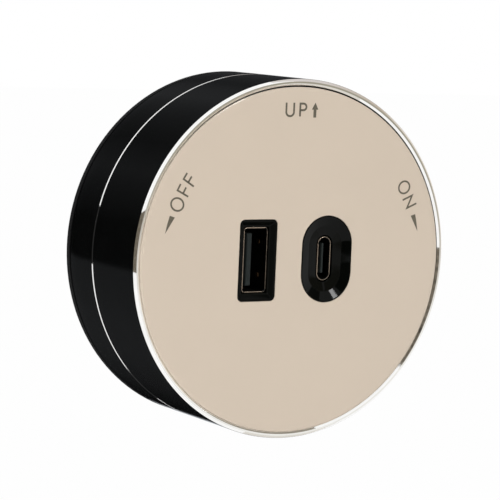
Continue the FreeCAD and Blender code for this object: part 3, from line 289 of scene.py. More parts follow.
# %% Helpers for nodes
def wired(tree, kind, inputs=None, **settings):
    """Adds a node, sets its properties, and links or sets its inputs by name or number."""
    node = tree.nodes.new("ShaderNode" + kind)
    for name, setting in settings.items():
        setattr(node, name, setting)
    for name, source in (inputs or {}).items():
        if isinstance(source, bpy.types.NodeSocket):
            tree.links.new(source, node.inputs[name])
        else:
            node.inputs[name].default_value = source
    return node


def maths(tree, operation, first, second):
    """The result of one sum in a tree."""
    return wired(tree, "Math", {0: first, 1: second}, operation=operation).outputs[0]


def object_place(tree):
    """The place on the piece, in metres."""
    return wired(tree, "TexCoord").outputs["Object"]


def soft_noise(tree, scale, detail):
    """Soft noise with so many waves to a metre."""
    return wired(tree, "TexNoise", {"Vector": object_place(tree), "Scale": scale, "Detail": detail}).outputs["Fac"]


# %% [markdown]
# A group is a small tree with named sockets of its own, which are linked or set by name wherever the group is used.

# %% Helpers for groups
def new_group(name, inputs, outputs):
    """An empty shader group with named sockets, and its two end nodes."""
    tree = bpy.data.node_groups.new(name, "ShaderNodeTree")
    for label, kind, default in inputs:
        socket = tree.interface.new_socket(label, in_out="INPUT", socket_type=f"NodeSocket{kind}")
        socket.default_value = default
    for label, kind in outputs:
        tree.interface.new_socket(label, in_out="OUTPUT", socket_type=f"NodeSocket{kind}")
    return tree, tree.nodes.new("NodeGroupInput"), tree.nodes.new("NodeGroupOutput")


def use_group(tree, group, **inputs):
    """Puts a group into a tree, with its sockets linked or set by name."""
    named = {name.replace("_", " ").title(): source for name, source in inputs.items()}
    return wired(tree, "Group", named, node_tree=group)


# %% [markdown]
# ### Turning lines
# A lathe leaves fine rings round the part, each a little higher or lower than the next. Noise that only varies
# along the axis makes them, with a second, wider noise so that bands of rings look deeper than others.

# %% Group: turning lines
lines, lines_in, lines_out = new_group(
    "turning_lines",
    [("Per Millimetre", "Float", 8.0), ("Wander", "Float", 0.15)],
    [("Height", "Float"), ("Tone", "Float")],
)
along = wired(lines, "SeparateXYZ", {0: object_place(lines)}).outputs["Y"]
wobble = maths(lines, "MULTIPLY", soft_noise(lines, 60.0, 1.0), lines_in.outputs["Wander"])
rings = maths(lines, "MULTIPLY", along, 1 / MM)
rings = maths(lines, "MULTIPLY", rings, lines_in.outputs["Per Millimetre"])
rings = maths(lines, "ADD", rings, wobble)
fine = wired(lines, "TexNoise", {"W": rings, "Scale": 1.0, "Detail": 2.0}, noise_dimensions="1D").outputs["Fac"]
broad = wired(lines, "TexNoise", {"W": rings, "Scale": 0.12, "Detail": 1.0}, noise_dimensions="1D").outputs["Fac"]
lines.links.new(fine, lines_out.inputs["Height"])
tone = maths(lines, "MULTIPLY", fine, broad)
lines.links.new(tone, lines_out.inputs["Tone"])

# %% [markdown]
# ### Mottling and dust
# No moulded, painted or plated surface is perfectly even. Mottling is soft noise at a given size. Dust is a sparse
# scatter of tiny specks: the cells of a Voronoi pattern, of which only the ones with a high random value show.

# %% Groups: mottling and dust
mottle, mottle_in, mottle_out = new_group(
    "mottling", [("Size", "Float", 0.004), ("Low", "Float", 0.9), ("High", "Float", 1.1)], [("Value", "Float")]
)
scale = maths(mottle, "DIVIDE", 1.0, mottle_in.outputs["Size"])
spread = {"Value": soft_noise(mottle, scale, 4.0), "From Min": 0.3, "From Max": 0.7}
spread.update({"To Min": mottle_in.outputs["Low"], "To Max": mottle_in.outputs["High"]})
mottle.links.new(wired(mottle, "MapRange", spread).outputs[0], mottle_out.inputs[0])

dust, dust_in, dust_out = new_group(
    "dust", [("Spacing", "Float", 0.0014), ("Share", "Float", 0.06), ("Speck", "Float", 0.05)], [("Mask", "Float")]
)
scale = maths(dust, "DIVIDE", 1.0, dust_in.outputs["Spacing"])
cells = wired(dust, "TexVoronoi", {"Vector": object_place(dust), "Scale": scale, "Randomness": 1.0})
near = maths(dust, "LESS_THAN", cells.outputs["Distance"], dust_in.outputs["Speck"])
chance = wired(dust, "SeparateColor", {0: cells.outputs["Color"]}).outputs[0]
chosen = maths(dust, "LESS_THAN", chance, dust_in.outputs["Share"])
dust.links.new(maths(dust, "MULTIPLY", near, chosen), dust_out.inputs[0])
print("groups:", [tree.name for tree in bpy.data.node_groups])

# %% [markdown]
# ### What every finish is made of
# A finish starts from plain values on the shader's sockets. Two drifts of soft noise then move its colour and its
# roughness a little.

# %% Plain values and drifts
MICRON = 0.000001
ROUGH_PATCH = 1.7


def new_finish(name, colour, roughness, metallic=0.0, specular=0.5):
    """A material with plain values on its shader."""
    material = bpy.data.materials.new(name)
    material.use_nodes = True
    shader = material.node_tree.nodes["Principled BSDF"]
    shader.inputs["Base Color"].default_value = (*colour, 1)
    shader.inputs["Roughness"].default_value = roughness
    shader.inputs["Metallic"].default_value = metallic
    shader.inputs["Specular IOR Level"].default_value = specular
    return material, material.node_tree, shader


def drift(tree, shader, size, tone, gloss):
    """Lets colour and roughness wander round their plain values by a share of them."""
    colour = tuple(shader.inputs["Base Color"].default_value)[:3]
    shade = use_group(tree, mottle, size=size, low=1 - tone, high=1 + tone).outputs[0]
    tinted = wired(tree, "VectorMath", {0: colour, "Scale": shade}, operation="SCALE").outputs[0]
    tree.links.new(tinted, shader.inputs["Base Color"])
    middle = shader.inputs["Roughness"].default_value
    low, high = middle * (1 - gloss), min(1.0, middle * (1 + gloss))
    rough = use_group(tree, mottle, size=size * ROUGH_PATCH, low=low, high=high).outputs[0]
    tree.links.new(rough, shader.inputs["Roughness"])


# %% [markdown]
# A grain raises the surface, mostly by a few thousandths of a millimetre, and dust lies on the colour. The real size
# of each is what makes plastic look like plastic, and paint like paint.

# %% Grain, dust and a whole finish
def raise_surface(tree, shader, height, depth):
    """Turns a height of 0 to 1 into bumps so many metres deep."""
    bump = wired(tree, "Bump", {"Height": height, "Distance": depth, "Strength": 1.0})
    tree.links.new(bump.outputs["Normal"], shader.inputs["Normal"])


def grain(tree, shader, size, depth, detail=3.0):
    """Raises the surface by soft noise of a real size and depth, in metres."""
    raise_surface(tree, shader, soft_noise(tree, 1 / size, detail), depth)


def add_dust(tree, shader, spacing, share, speck, tone):
    """Lays sparse specks of another tone over a colour that drifts."""
    specks = use_group(tree, dust, spacing=spacing, share=share, speck=speck).outputs[0]
    base = shader.inputs["Base Color"].links[0].from_socket
    dusty = wired(tree, "Mix", {"Factor": specks, 6: base, 7: (*tone, 1)}, data_type="RGBA")
    tree.links.new(dusty.outputs[2], shader.inputs["Base Color"])


def plain_finish(name, colour, roughness, metallic, size, tone, gloss, grit, depth, specular=0.5, detail=3.0):
    """A finish from one row of numbers. A size or a grit of 0 leaves out the drift or the grain."""
    material, tree, shader = new_finish(name, colour, roughness, metallic, specular)
    if size:
        drift(tree, shader, size * MM, tone, gloss)
    if grit:
        grain(tree, shader, grit * MICRON, depth * MICRON, detail)
    return material


# %% [markdown]
# ### Black sleeves and bright cuts
# Both sleeves are turned aluminium, anodised black: a dark, faintly shining skin over fine turning lines, with a
# few specks of dust. After the colour, the rim and the seam's edge are cut once more with a diamond, which leaves
# bare metal, nearly a mirror. A low specular level keeps the black as deep as dye in an oxide layer looks.

# %% Finishes of the sleeves
black_sleeve, tree, shader = new_finish("anodised_black", (0.0034, 0.0036, 0.0036), 0.10, specular=0.035)
drift(tree, shader, 0.006, 0.12, 0.10)
turning = use_group(tree, lines, per_millimetre=9.0, wander=0.2)
ringed = {"Value": turning.outputs["Tone"], "From Max": 0.5, "To Min": 0.07, "To Max": 0.11}
tree.links.new(wired(tree, "MapRange", ringed).outputs[0], shader.inputs["Roughness"])
raise_surface(tree, shader, turning.outputs["Height"], 0.35 * MICRON)
add_dust(tree, shader, 0.0016, 0.05, 0.035, (0.03, 0.03, 0.029))

bright_cut, tree, shader = new_finish("diamond_cut_metal", (0.95, 0.945, 0.93), 0.045, metallic=1.0)
drift(tree, shader, 0.004, 0.03, 0.2)
turning = use_group(tree, lines, per_millimetre=22.0, wander=0.1)
raise_surface(tree, shader, turning.outputs["Height"], 0.5 * MICRON)
print(black_sleeve.name, bright_cut.name)

# %% [markdown]
# ### Face, surrounds and sockets
# The face is glossy cream plastic: nearly even in colour, with the slightest waviness in its shine. Of the black
# surrounds, the left one is satin and the right one glossy, with slow waves. Socket shells are nickel-plated steel,
# warm in tone, and painted near black inside as shade, where hardly any light gets in; the USB-C contacts get a dark
# gold as painted shade too. The face's side wall in the gap gets painted light at its front and painted shade deeper
# in. The marks are printed in a warm grey ink.
#
# A row holds colour, roughness and metallic, the drift's size in millimetres, its tone and its gloss, the grain's
# size and depth in microns, and then, where they aren't the usual ones, the specular level and the grain's detail.

# %% A table of the front's finishes
FRONT = {
    "cream_gloss": ((0.656, 0.557, 0.452), 0.11, 0, 12, 0.008, 0.12, 4000, 1.2, 0.16),
    # The next two rows are painted light and painted shade for the face's side wall in the gap.
    "gap_wall_painted_light": ((0.93, 0.83, 0.71), 0.35, 0, 0, 0, 0, 400, 2, 0.16),
    "gap_painted_shade": ((0.012, 0.009, 0.006), 0.5, 0, 0, 0, 0, 400, 2, 0.1),
    "bezel_gloss_black": ((0.0014, 0.0017, 0.0013), 0.07, 0, 4, 0.1, 0.2, 5000, 250, 0.105, 0.5),
    "bezel_satin_black": ((0.0022, 0.0026, 0.0021), 0.22, 0, 4, 0.1, 0.2, 800, 0.4, 0.09),
    "warm_nickel": ((0.38, 0.30, 0.23), 0.22, 1, 1.2, 0.08, 0.25, 400, 0.2),
    # This row is painted shade for the walls deep inside the shells.
    "nickel_in_shade": ((0.035, 0.033, 0.03), 0.45, 1, 1.5, 0.2, 0.2, 0, 0),
    "brass_catch": ((0.13, 0.08, 0.042), 0.4, 1, 0.6, 0.15, 0.2, 0, 0),
    # This row is painted shade for the contacts deep in the USB-C socket.
    "gold_in_shade": ((0.08, 0.055, 0.025), 0.4, 1, 0.6, 0.15, 0.2, 0, 0),
    "tongue_blue_grey": ((0.021, 0.0255, 0.0245), 0.45, 0, 1.2, 0.12, 0.15, 100, 0.8, 0.1),
    "warm_grey_ink": ((0.112, 0.095, 0.066), 0.45, 0, 0.5, 0.12, 0.1, 80, 1.5),
}
finish_of = {name: plain_finish(name, *row) for name, row in FRONT.items()}
tree = finish_of["bezel_gloss_black"].node_tree
add_dust(tree, tree.nodes["Principled BSDF"], 0.0011, 0.03, 0.03, (0.08, 0.08, 0.075))
print(len(finish_of), "finishes at the front")

# %% [markdown]
# ### Finishes by slot
# Each slot of the record gets its finish, so every carried-over part has one as well, also where the shell hides it.
# The rows have the same numbers as above.

# %% A table of the other finishes
PLAIN = {
    "plate_black": ((0.0028, 0.0028, 0.003), 0.42, 0, 4, 0.12, 0.15, 120, 5, 0.06),
    "rear_black": ((0.0125, 0.0125, 0.013), 0.48, 0, 4, 0.12, 0.15, 250, 12),
    "housing_black": ((0.014, 0.014, 0.015), 0.48, 0, 4, 0.12, 0.15, 180, 6),
    "insulator_black": ((0.020, 0.020, 0.022), 0.38, 0, 3, 0.12, 0.15, 140, 5),
    "contact_gold": ((0.80, 0.56, 0.22), 0.22, 1, 0.8, 0.1, 0.25, 60, 1),
    "mains_brass": ((0.66, 0.47, 0.22), 0.26, 1, 1.8, 0.12, 0.3, 100, 2),
    "screw_steel": ((0.50, 0.49, 0.47), 0.3, 1, 1.2, 0.12, 0.25, 80, 2),
    "spring_steel": ((0.42, 0.42, 0.42), 0.32, 1, 1, 0.15, 0.25, 80, 2),
    "washer_white": ((0.72, 0.71, 0.68), 0.4, 0, 3, 0.05, 0.15, 150, 3),
    "washer_grey": ((0.16, 0.16, 0.17), 0.55, 0, 1.5, 0.15, 0.15, 100, 5),
    "spacer_white": ((0.74, 0.73, 0.70), 0.42, 0, 2, 0.05, 0.15, 120, 3),
    "ferrite_grey": ((0.045, 0.045, 0.048), 0.55, 0, 0.8, 0.18, 0.15, 60, 8),
    "bobbin_black": ((0.018, 0.018, 0.019), 0.35, 0, 2, 0.1, 0.15, 120, 3),
    "can_aluminium": ((0.66, 0.66, 0.67), 0.3, 1, 1.6, 0.08, 0.25, 100, 2),
    "fuse_brown": ((0.10, 0.045, 0.022), 0.3, 0, 1.4, 0.12, 0.15, 100, 2),
    "y_capacitor_blue": ((0.025, 0.11, 0.34), 0.28, 0, 1.6, 0.1, 0.15, 200, 6),
    "chip_black": ((0.022, 0.022, 0.023), 0.5, 0, 0.8, 0.12, 0.12, 50, 4),
}
finish_of.update({name: plain_finish(name, *row) for name, row in PLAIN.items()})
finish_of.update(sleeve_black=black_sleeve, diamond_cut_metal=bright_cut)
finish_of.update(face_cream=finish_of["cream_gloss"], bezel_black=finish_of["bezel_gloss_black"])
finish_of.update(port_metal=finish_of["warm_nickel"], tongue_grey=finish_of["tongue_blue_grey"])
print(len(finish_of), "finishes by name and slot")

# %% [markdown]
# Two finishes inside have a pattern of their own: the boards' green lacquer shows the raised tracks under it, and
# the transformer's yellow tape is wound in turns, each a little proud of the next.

# %% Board lacquer and winding tape
board_green, tree, shader = new_finish("board_lacquer", (0.012, 0.10, 0.035), 0.30)
flat_place = wired(tree, "Mapping", {"Vector": object_place(tree), "Rotation": (math.pi / 2, 0, 0)}).outputs[0]
pattern = {"Vector": flat_place, "Scale": 260.0, "Mortar Size": 0.03}
pattern.update({"Color1": (0, 0, 0, 1), "Color2": (0.25, 0.25, 0.25, 1), "Mortar": (1, 1, 1, 1)})
tracks = wired(tree, "TexBrick", pattern)
raised = wired(tree, "SeparateColor", {0: tracks.outputs["Color"]}).outputs[0]
greens = {"Factor": raised, 6: (0.010, 0.085, 0.030, 1), 7: (0.03, 0.20, 0.07, 1)}
lacquer = wired(tree, "Mix", greens, data_type="RGBA")
tree.links.new(lacquer.outputs[2], shader.inputs["Base Color"])
raise_surface(tree, shader, raised, 25 * MICRON)

winding_tape, tree, shader = new_finish("winding_tape", (0.62, 0.42, 0.05), 0.30)
drift(tree, shader, 0.0015, 0.1, 0.2)
waves = {"Vector": object_place(tree), "Scale": 180.0, "Distortion": 0.6}
turns = wired(tree, "TexWave", waves, bands_direction="X")
raise_surface(tree, shader, turns.outputs["Fac"], 20 * MICRON)
finish_of.update(board_green=board_green, winding_tape=winding_tape)
print(sorted(finish_of))

# %% [markdown]
# ## Pieces and the nodes they stand for
# A piece that takes a CAD node's place hides it and moves with its body. The record names each node's slot, and the
# slot names the finish. Every node that stays gets its finish first.

# %% Dress the CAD nodes
slot_of = {part["node"]: part["material_slot"] for part in frame["record"]["subparts"]}
for name, node in frame["nodes"].items():
    node.data.materials.clear()
    node.data.materials.append(finish_of[slot_of[name]])


def stands_for(piece, node, *others):
    """Hides a node, rides on its body, and takes its slot's finish and then any others named."""
    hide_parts(node)
    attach(piece, frame["nodes"][node]["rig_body"])
    piece.data.materials.clear()
    for name in (slot_of[node], *others):
        piece.data.materials.append(finish_of[name])
    return piece


def paint(piece, number, test):
    """Gives the finish with this number to the faces whose middle (across, depth, up, radius) passes the test."""
    count = 0
    for face in piece.data.polygons:
        across, depth, up = face.center.x / MM, -face.center.y / MM, face.center.z / MM
        if test(across, depth, up, math.hypot(across, up)):
            face.material_index = number
            count += 1
    return count


print(len(slot_of), "nodes dressed")

# %% [markdown]
# ## Front sleeve
# The front sleeve is one turned ring. At its mouth it has a wide 45 degree cut outside, a narrow flat crest, and a
# narrower cut inside, all three bright. Inside it has a small ledge, on which the face's carrier rests.

# %% Turn the front sleeve
BODY, BORE, RIM, CREST_IN = 36.0, 34.7, 35.47, 35.12
SEAM, RIM_START, MOUTH = 11.75, 28.69, 29.25
INNER_CUT, BRIGHT_BORE = 0.36, 28.55
LEDGE_BORE, LEDGE_REAR, LEDGE_FRONT = 33.6, 24.1, 24.9
SOFT = 0.08

front_outline = [
    (BORE, SEAM), (BODY - SOFT, SEAM), (BODY, SEAM + SOFT), (BODY, RIM_START), (BODY - 0.05, RIM_START + SOFT),
    (RIM, MOUTH), (CREST_IN, MOUTH), (BORE, MOUTH - INNER_CUT), (BORE, BRIGHT_BORE),
    (BORE, LEDGE_FRONT), (LEDGE_BORE, LEDGE_FRONT), (LEDGE_BORE, LEDGE_REAR), (BORE, LEDGE_REAR),
]


def on_rim(x, depth, z, radius):
    """Whether a face of the ring lies on the bright cuts."""
    return depth > (RIM_START + 0.1 if radius > RIM else BRIGHT_BORE)


front_sleeve = finished(turned(front_outline), "front_sleeve_ring")
stands_for(front_sleeve, "front_sleeve", "diamond_cut_metal")
print(paint(front_sleeve, 1, on_rim), "bright faces on the rim")

# %% [markdown]
# ## Rear sleeve
# The rear sleeve is drawn in by a few hundredths of a millimetre near its rear edge, in a soft curve, so that it
# meets the base with a shadow line. Its front edge carries the bright cut that shows as a thin line round the body.

# %% Turn the rear sleeve
HEAD_REAR, LIP_BORE, LIP_FRONT = 1.9, 35.15, 2.7
DRAWN_IN, DRAWN_OVER, CURVE_STEPS = 0.06, 3.5, 6
CUT_LONG, CUT_DEEP, CUT_SKIN = 0.38, 0.28, 0.22

curve = []
for step in range(CURVE_STEPS + 1):
    inset = DRAWN_IN * (1 - step / CURVE_STEPS) ** 2
    curve.append((BODY - inset, HEAD_REAR + DRAWN_OVER * step / CURVE_STEPS))
rear_radius = curve[0][0]
rear_outline = [(LIP_BORE, HEAD_REAR), (rear_radius - SOFT, HEAD_REAR), (rear_radius, HEAD_REAR + SOFT)]
rear_outline += curve[1:] + [(BODY, SEAM - CUT_LONG), (BODY - CUT_DEEP, SEAM), (BORE, SEAM)]
rear_outline += [(BORE, LIP_FRONT), (LIP_BORE, LIP_FRONT)]


def on_seam(x, depth, z, radius):
    """Whether a face of the ring lies on the seam's bright cut."""
    return depth > SEAM - 0.3 and radius > BODY - CUT_SKIN


rear_sleeve = finished(turned(rear_outline), "rear_sleeve_ring")
stands_for(rear_sleeve, "rear_sleeve", "diamond_cut_metal")
print(paint(rear_sleeve, 1, on_seam), "bright faces at the seam")

# %% [markdown]
# ## The face
# The face is a disc two millimetres thick. Its front edge rolls over in a low, wide curve, which catches the light
# as a soft line just inside the rim. It lies a hair to the left and low in its ring, so the gap round it isn't even:
# the side wall is painted a light cream at the front of the gap, as painted light, and near black deeper in, as
# painted shade.

# %% Turn the face
FACE_RADIUS, FACE_REAR, FACE, BACK_RING = 34.52, 27.2, 29.2, 33.0
ROLL_WIDE, ROLL_BOW, ROLL_START, ROLL_STEPS = 0.9, 2.68, 70.4, 12
FACE_SLIDE, FACE_SAG = 0.07, 0.14
SHADE_LINE, SIDE_SKIN, EDGE_SKIN = 28.55, 0.3, 0.17

face_outline = [(BACK_RING, FACE_REAR), (FACE_RADIUS - 0.1, FACE_REAR), (FACE_RADIUS, FACE_REAR + 0.1)]
face_outline.append((FACE_RADIUS, SHADE_LINE))
roll_centre = (FACE_RADIUS - ROLL_WIDE, FACE - ROLL_BOW)
face_outline += arc(roll_centre, ROLL_BOW, ROLL_BOW, ROLL_START, 90, ROLL_STEPS)
face = turned(face_outline, closed=False)
bpy.ops.mesh.select_all(action="SELECT")
bpy.ops.transform.translate(value=(-FACE_SLIDE * MM, 0, -FACE_SAG * MM))
face = finished(face, "face_disc")

# %% [markdown]
# Both sockets' openings are cut right through the face by a Boolean: a block with the opening's outline is taken
# away. The sharp edges that this leaves at the front are then picked, and get a small rounding.

# %% Cut both openings
A_ACROSS, C_ACROSS = -8.4, 7.7
A_BEZEL, C_BEZEL = (8.5, 16.2, 1.0), (11.7, 17.45, 5.85)
SLIP, CUT_FROM, CUT_TO, CUT_STEPS = 0.05, 26.0, 30.5, 16


def cut_away(piece, wide, tall, corner, rear, front, across):
    """Cuts a rounded opening through a piece between two depths."""
    ends = [(wide, tall, corner, rear), (wide, tall, corner, front)]
    tool = lofted(ends, across, closed=False, steps=CUT_STEPS)
    finished(tool, "opening")
    apply_modifier(piece, "BOOLEAN", operation="DIFFERENCE", object=tool, solver="EXACT")
    bpy.data.objects.remove(tool)


def rims_an_opening(edge):
    """Whether an edge of the front side is the sharp one round an opening."""
    at_front = all(abs(v.co.y + FACE * MM) < 0.001 * MM and v.co.xz.length < 30 * MM for v in edge.verts)
    return at_front and len(edge.link_faces) == 2 and edge.calc_face_angle(0) > 1


for across, (wide, tall, corner) in ((A_ACROSS, A_BEZEL), (C_ACROSS, C_BEZEL)):
    cut_away(face, wide + 2 * SLIP, tall + 2 * SLIP, corner + SLIP, CUT_FROM, CUT_TO, across)
only(face)
open_mesh()
edges = pick("edges", rims_an_opening)
bpy.ops.mesh.bevel(offset=0.1 * MM, segments=3, affect="EDGES")
face = finished(face, "face_disc", weighted=True)
stands_for(face, "face_panel", "gap_wall_painted_light", "gap_painted_shade")
side = FACE_RADIUS - SIDE_SKIN
# Painted light and painted shade: the front of the side wall in the gap gets a light cream, the wall deeper in a
# near black.
paint(face, 1, lambda x, depth, z, radius: radius > side and SHADE_LINE < depth < FACE - EDGE_SKIN)
paint(face, 2, lambda x, depth, z, radius: radius > side and depth < SHADE_LINE)
print(edges, "edges rounded round the openings")

# %% [markdown]
# ## Surrounds of the sockets
# Each surround is a black frame that stands flush with the face. The left one, for USB-A, slopes in with four flat
# sides that meet in mitred corners. The right one, for USB-C, is a stadium: a sloping band, then a flatter dish.
# Both are lofts through their slices, from the flange behind the face, round the front edge and back down inside.

# %% Loft both surrounds
A_MOUTH, C_MOUTH = 28.3, 28.15
FLANGE_REAR, FLANGE_FRONT = 23.9, 24.9

a_slices = [
    (5.8, 13.2, 0.6, FLANGE_REAR), (11.4, 19.1, 1.0, FLANGE_REAR), (11.4, 19.1, 1.0, FLANGE_FRONT),
    (*A_BEZEL, FLANGE_FRONT), (*A_BEZEL, FACE - 0.12), (8.46, 16.16, 0.98, FACE - 0.04),
    (8.36, 16.06, 0.93, FACE), (7.78, 15.48, 0.22, FACE), (7.68, 15.38, 0.18, FACE - 0.03),
    (7.6, 15.3, 0.15, FACE - 0.09), (6.44, 13.98, 0.14, A_MOUTH + 0.10), (6.34, 13.88, 0.12, A_MOUTH + 0.03),
    (6.24, 13.78, 0.11, A_MOUTH), (5.86, 13.26, 0.1, A_MOUTH - 0.01), (5.8, 13.2, 0.1, A_MOUTH - 0.1),
]
surround = finished(lofted(a_slices, A_ACROSS), "surround_usb_a", weighted=True)
stands_for(surround, "usb_a_bezel", "bezel_satin_black")
paint(surround, 1, lambda x, depth, z, radius: depth > FLANGE_FRONT)

c_wide, c_tall, _ = C_BEZEL
c_stadiums = [
    (3.7, 9.44, FLANGE_REAR), (14.7, 20.45, FLANGE_REAR), (14.7, 20.45, FLANGE_FRONT),
    (c_wide, c_tall, FLANGE_FRONT), (c_wide, c_tall, FACE - 0.12), (c_wide - 0.04, c_tall - 0.04, FACE - 0.04),
    (c_wide - 0.14, c_tall - 0.14, FACE), (c_wide - 0.46, c_tall - 0.46, FACE),
    (c_wide - 0.58, c_tall - 0.58, FACE - 0.04), (7.86, 13.61, FACE - 0.68), (7.7, 13.45, FACE - 0.73),
    (7.5, 13.25, FACE - 0.75), (3.9, 9.64, C_MOUTH + 0.03), (3.76, 9.5, C_MOUTH - 0.02), (3.7, 9.44, C_MOUTH - 0.12),
]
c_slices = [(wide, tall, wide / 2, depth) for wide, tall, depth in c_stadiums]
surround = finished(lofted(c_slices, C_ACROSS), "surround_usb_c", weighted=True)
stands_for(surround, "usb_c_bezel")

# %% [markdown]
# ## Socket shells
# A shell is a cup of thin sheet metal, open to the front, with its lip rounded from the press. Light hardly reaches
# its inside, so the walls there are painted darker than the lip, as painted shade.

# %% Loft both shells
SHELL_REAR, WALL = 18.6, 0.3
DARK_SKIN = 0.62 * WALL


def shell_cup(wide, tall, corner, mouth, across):
    """A cup with a rounded lip: up the outside, over the lip and down the inside to the floor."""
    lip = [(0.0, 0.22), (0.010, 0.13), (0.036, 0.065), (0.08, 0.022)]
    path = [(0.0, mouth - SHELL_REAR)] + lip + [(WALL / 2, 0.0)]
    path += [(WALL - inset, drop) for inset, drop in reversed(lip)] + [(WALL, mouth - SHELL_REAR - WALL)]
    slices = [(wide - 2 * inset, tall - 2 * inset, corner - inset, mouth - drop) for inset, drop in path]
    return lofted(slices, across, closed=False)


def inside_of(across, wide, tall, corner):
    """Makes the test for faces well inside a rounded rectangle, past its lip."""
    def test(x, depth, z, radius):
        beside, above = abs(x - across) - wide / 2 + corner, abs(z) - tall / 2 + corner
        return depth > SHELL_REAR + 0.1 and math.hypot(max(beside, 0), max(above, 0)) < corner - DARK_SKIN

    return test


for name, node, wide, tall, corner, mouth, across in (
    ("shell_usb_a", "usb_a_shell", 5.62, 13.1, 0.8, A_MOUTH - 0.3, A_ACROSS + 0.03),
    ("shell_usb_c", "usb_c_shell", 3.2, 8.94, 1.6, C_MOUTH - 0.1, C_ACROSS),
):
    shell = finished(shell_cup(wide, tall, corner, mouth, across), name)
    stands_for(shell, node, "nickel_in_shade")
    # Painted shade: the walls deep inside the shell get the near-black nickel.
    print(paint(shell, 1, inside_of(across, wide, tall, corner)), "faces in shade")

# %% [markdown]
# The USB-A shell has two small catches pressed into its right wall, which hold the plug: domes with a soft top. Each
# is turned like the sleeves, then laid on its side in its place. Small pieces of one kind become one object.

# %% Dome the two catches
A_HALF = 2.85
CATCH_WALL, CATCH_DEPTH, CATCH_UP = A_ACROSS + A_HALF - WALL, 24.85, 3.4
CATCH_RADIUS, CATCH_RISE, CATCH_ROOT, CATCH_SIDES = 0.6, 0.25, 0.05, 40
DOME_ANGLES = (0, 15, 30, 45, 60, 75, 85)


def catch(up):
    """A dome that rises from the inner wall towards the left."""
    angles = [math.radians(angle) for angle in DOME_ANGLES]
    profile = [(CATCH_RADIUS * math.cos(a), CATCH_ROOT + CATCH_RISE * math.sin(a)) for a in angles]
    dome = turned([(CATCH_RADIUS, 0.0)] + profile, closed=False, sides=CATCH_SIDES)
    close_mesh()
    dome.rotation_euler.z = -math.pi / 2
    dome.location = Vector((CATCH_WALL + CATCH_ROOT, -CATCH_DEPTH, up)) * MM
    bpy.ops.object.transform_apply(location=True, rotation=True)
    return dome


def joined(pieces, name, finish):
    """Joins pieces into one of a finish of its own, which rides on the head."""
    only(pieces[0])
    for piece in pieces:
        piece.select_set(True)
    bpy.ops.object.join()
    whole = finished(bpy.context.object, name)
    whole.data.materials.clear()
    whole.data.materials.append(finish_of[finish])
    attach(whole, "head")
    return whole


joined([catch(CATCH_UP), catch(-CATCH_UP)], "catches", "brass_catch")
print("catches at", round(CATCH_WALL, 2), "across")

# %% [markdown]
# ## Parts that keep their CAD shape
# Tongues, contacts, the base and everything that enters the track have the right shape already, but their edges are
# knife-sharp, which no real edge is. A copy of each is merged and freed of its flat triangles' inner edges, and then
# its remaining edges get a small rounding, which picks up a line of light as moulded and stamped edges do.

# %% Copy a node and round its edges
COPY_WELD, FLAT_BELOW, SHARP_OVER = 0.002 * MM, math.radians(0.4), math.radians(30)


def copy_of(node):
    """A free copy of a node, in the same place."""
    piece = frame["nodes"][node].copy()
    piece.data = frame["nodes"][node].data.copy()
    for key in list(piece.keys()):
        del piece[key]
    piece.parent = None
    bpy.context.scene.collection.objects.link(piece)
    only(piece)
    return piece


def rounded_copy(node, name, width, slim=None):
    """A merged copy of a node with its edges rounded, standing in for it, also slimmed by (share, share, across)."""
    piece = copy_of(node)
    open_mesh()
    bpy.ops.mesh.remove_doubles(threshold=COPY_WELD)
    bpy.ops.mesh.dissolve_limited(angle_limit=FLAT_BELOW)
    if slim:
        bpy.ops.mesh.select_all(action="SELECT")
        bpy.ops.transform.resize(value=(slim[0], 1, slim[1]), center_override=(slim[2] * MM, 0, 0))
    close_mesh()
    settings = {"width": width * MM, "segments": 2, "limit_method": "ANGLE"}
    apply_modifier(piece, "BEVEL", angle_limit=SHARP_OVER, harden_normals=False, **settings)
    return stands_for(finished(piece, name, weighted=True), node)


# %% [markdown]
# Each copy gets a rounding as wide as the real process leaves: coarse on moulded blocks, fine on stamped strips. In
# the sockets, tongue and contacts are slimmed a little to what shows. Faces at the rear get a duller black.

# %% Round every copy
REAR_SKIN = 0.12
SLIM_A, SLIM_C = (0.79, 1.01, A_ACROSS - 0.5), (0.58, 0.9, C_ACROSS + 0.2)
for node, name, width, *slim in (
    ("base_plate", "base_disc", 0.06),
    ("guide_block", "slot_block", 0.15),
    ("guide_screws", "block_screws", 0.04),
    ("contact_spindle", "spindle", 0.06),
    ("spindle_cap", "spindle_nose", 0.15),
    ("live_contact", "live_strip", 0.05),
    ("neutral_contact", "neutral_strip", 0.05),
    ("earth_pin", "earth_plunger", 0.06),
    ("usb_a_tongue", "tongue_usb_a", 0.04, SLIM_A),
    ("usb_a_contacts", "strips_usb_a", 0.03, SLIM_A),
    ("usb_c_tongue", "tongue_usb_c", 0.04, SLIM_C),
):
    piece = rounded_copy(node, name, width, *slim)
    if node in ("base_plate", "guide_block"):
        piece.data.materials.append(finish_of["rear_black"])
        print(paint(piece, 1, lambda x, depth, z, radius: depth < REAR_SKIN), "rear faces on", name)
strips = rounded_copy("usb_c_contacts", "strips_usb_c", 0.015, SLIM_C)
# Painted shade: the USB-C contacts get a dark gold, as little light reaches them deep in the socket.
strips.data.materials[0] = finish_of["gold_in_shade"]

# %% [markdown]
# ## The spring behind the earth pin
# A copy of the spring takes its node's place and gets a mesh of its own.

# %% Copy the spring
coil = stands_for(finished(copy_of("earth_spring"), "plunger_coil"), "earth_spring")
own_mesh(coil)

# %% [markdown]
# ## The printed marks
# The face says UP at the top, OFF on the left and ON on the right, each with its arrow, in thin warm grey strokes.
# Each shape starts as one vertex that is extruded from point to point.

# %% Draw a line from point to point
INK, ROOT = 0.015, 0.005


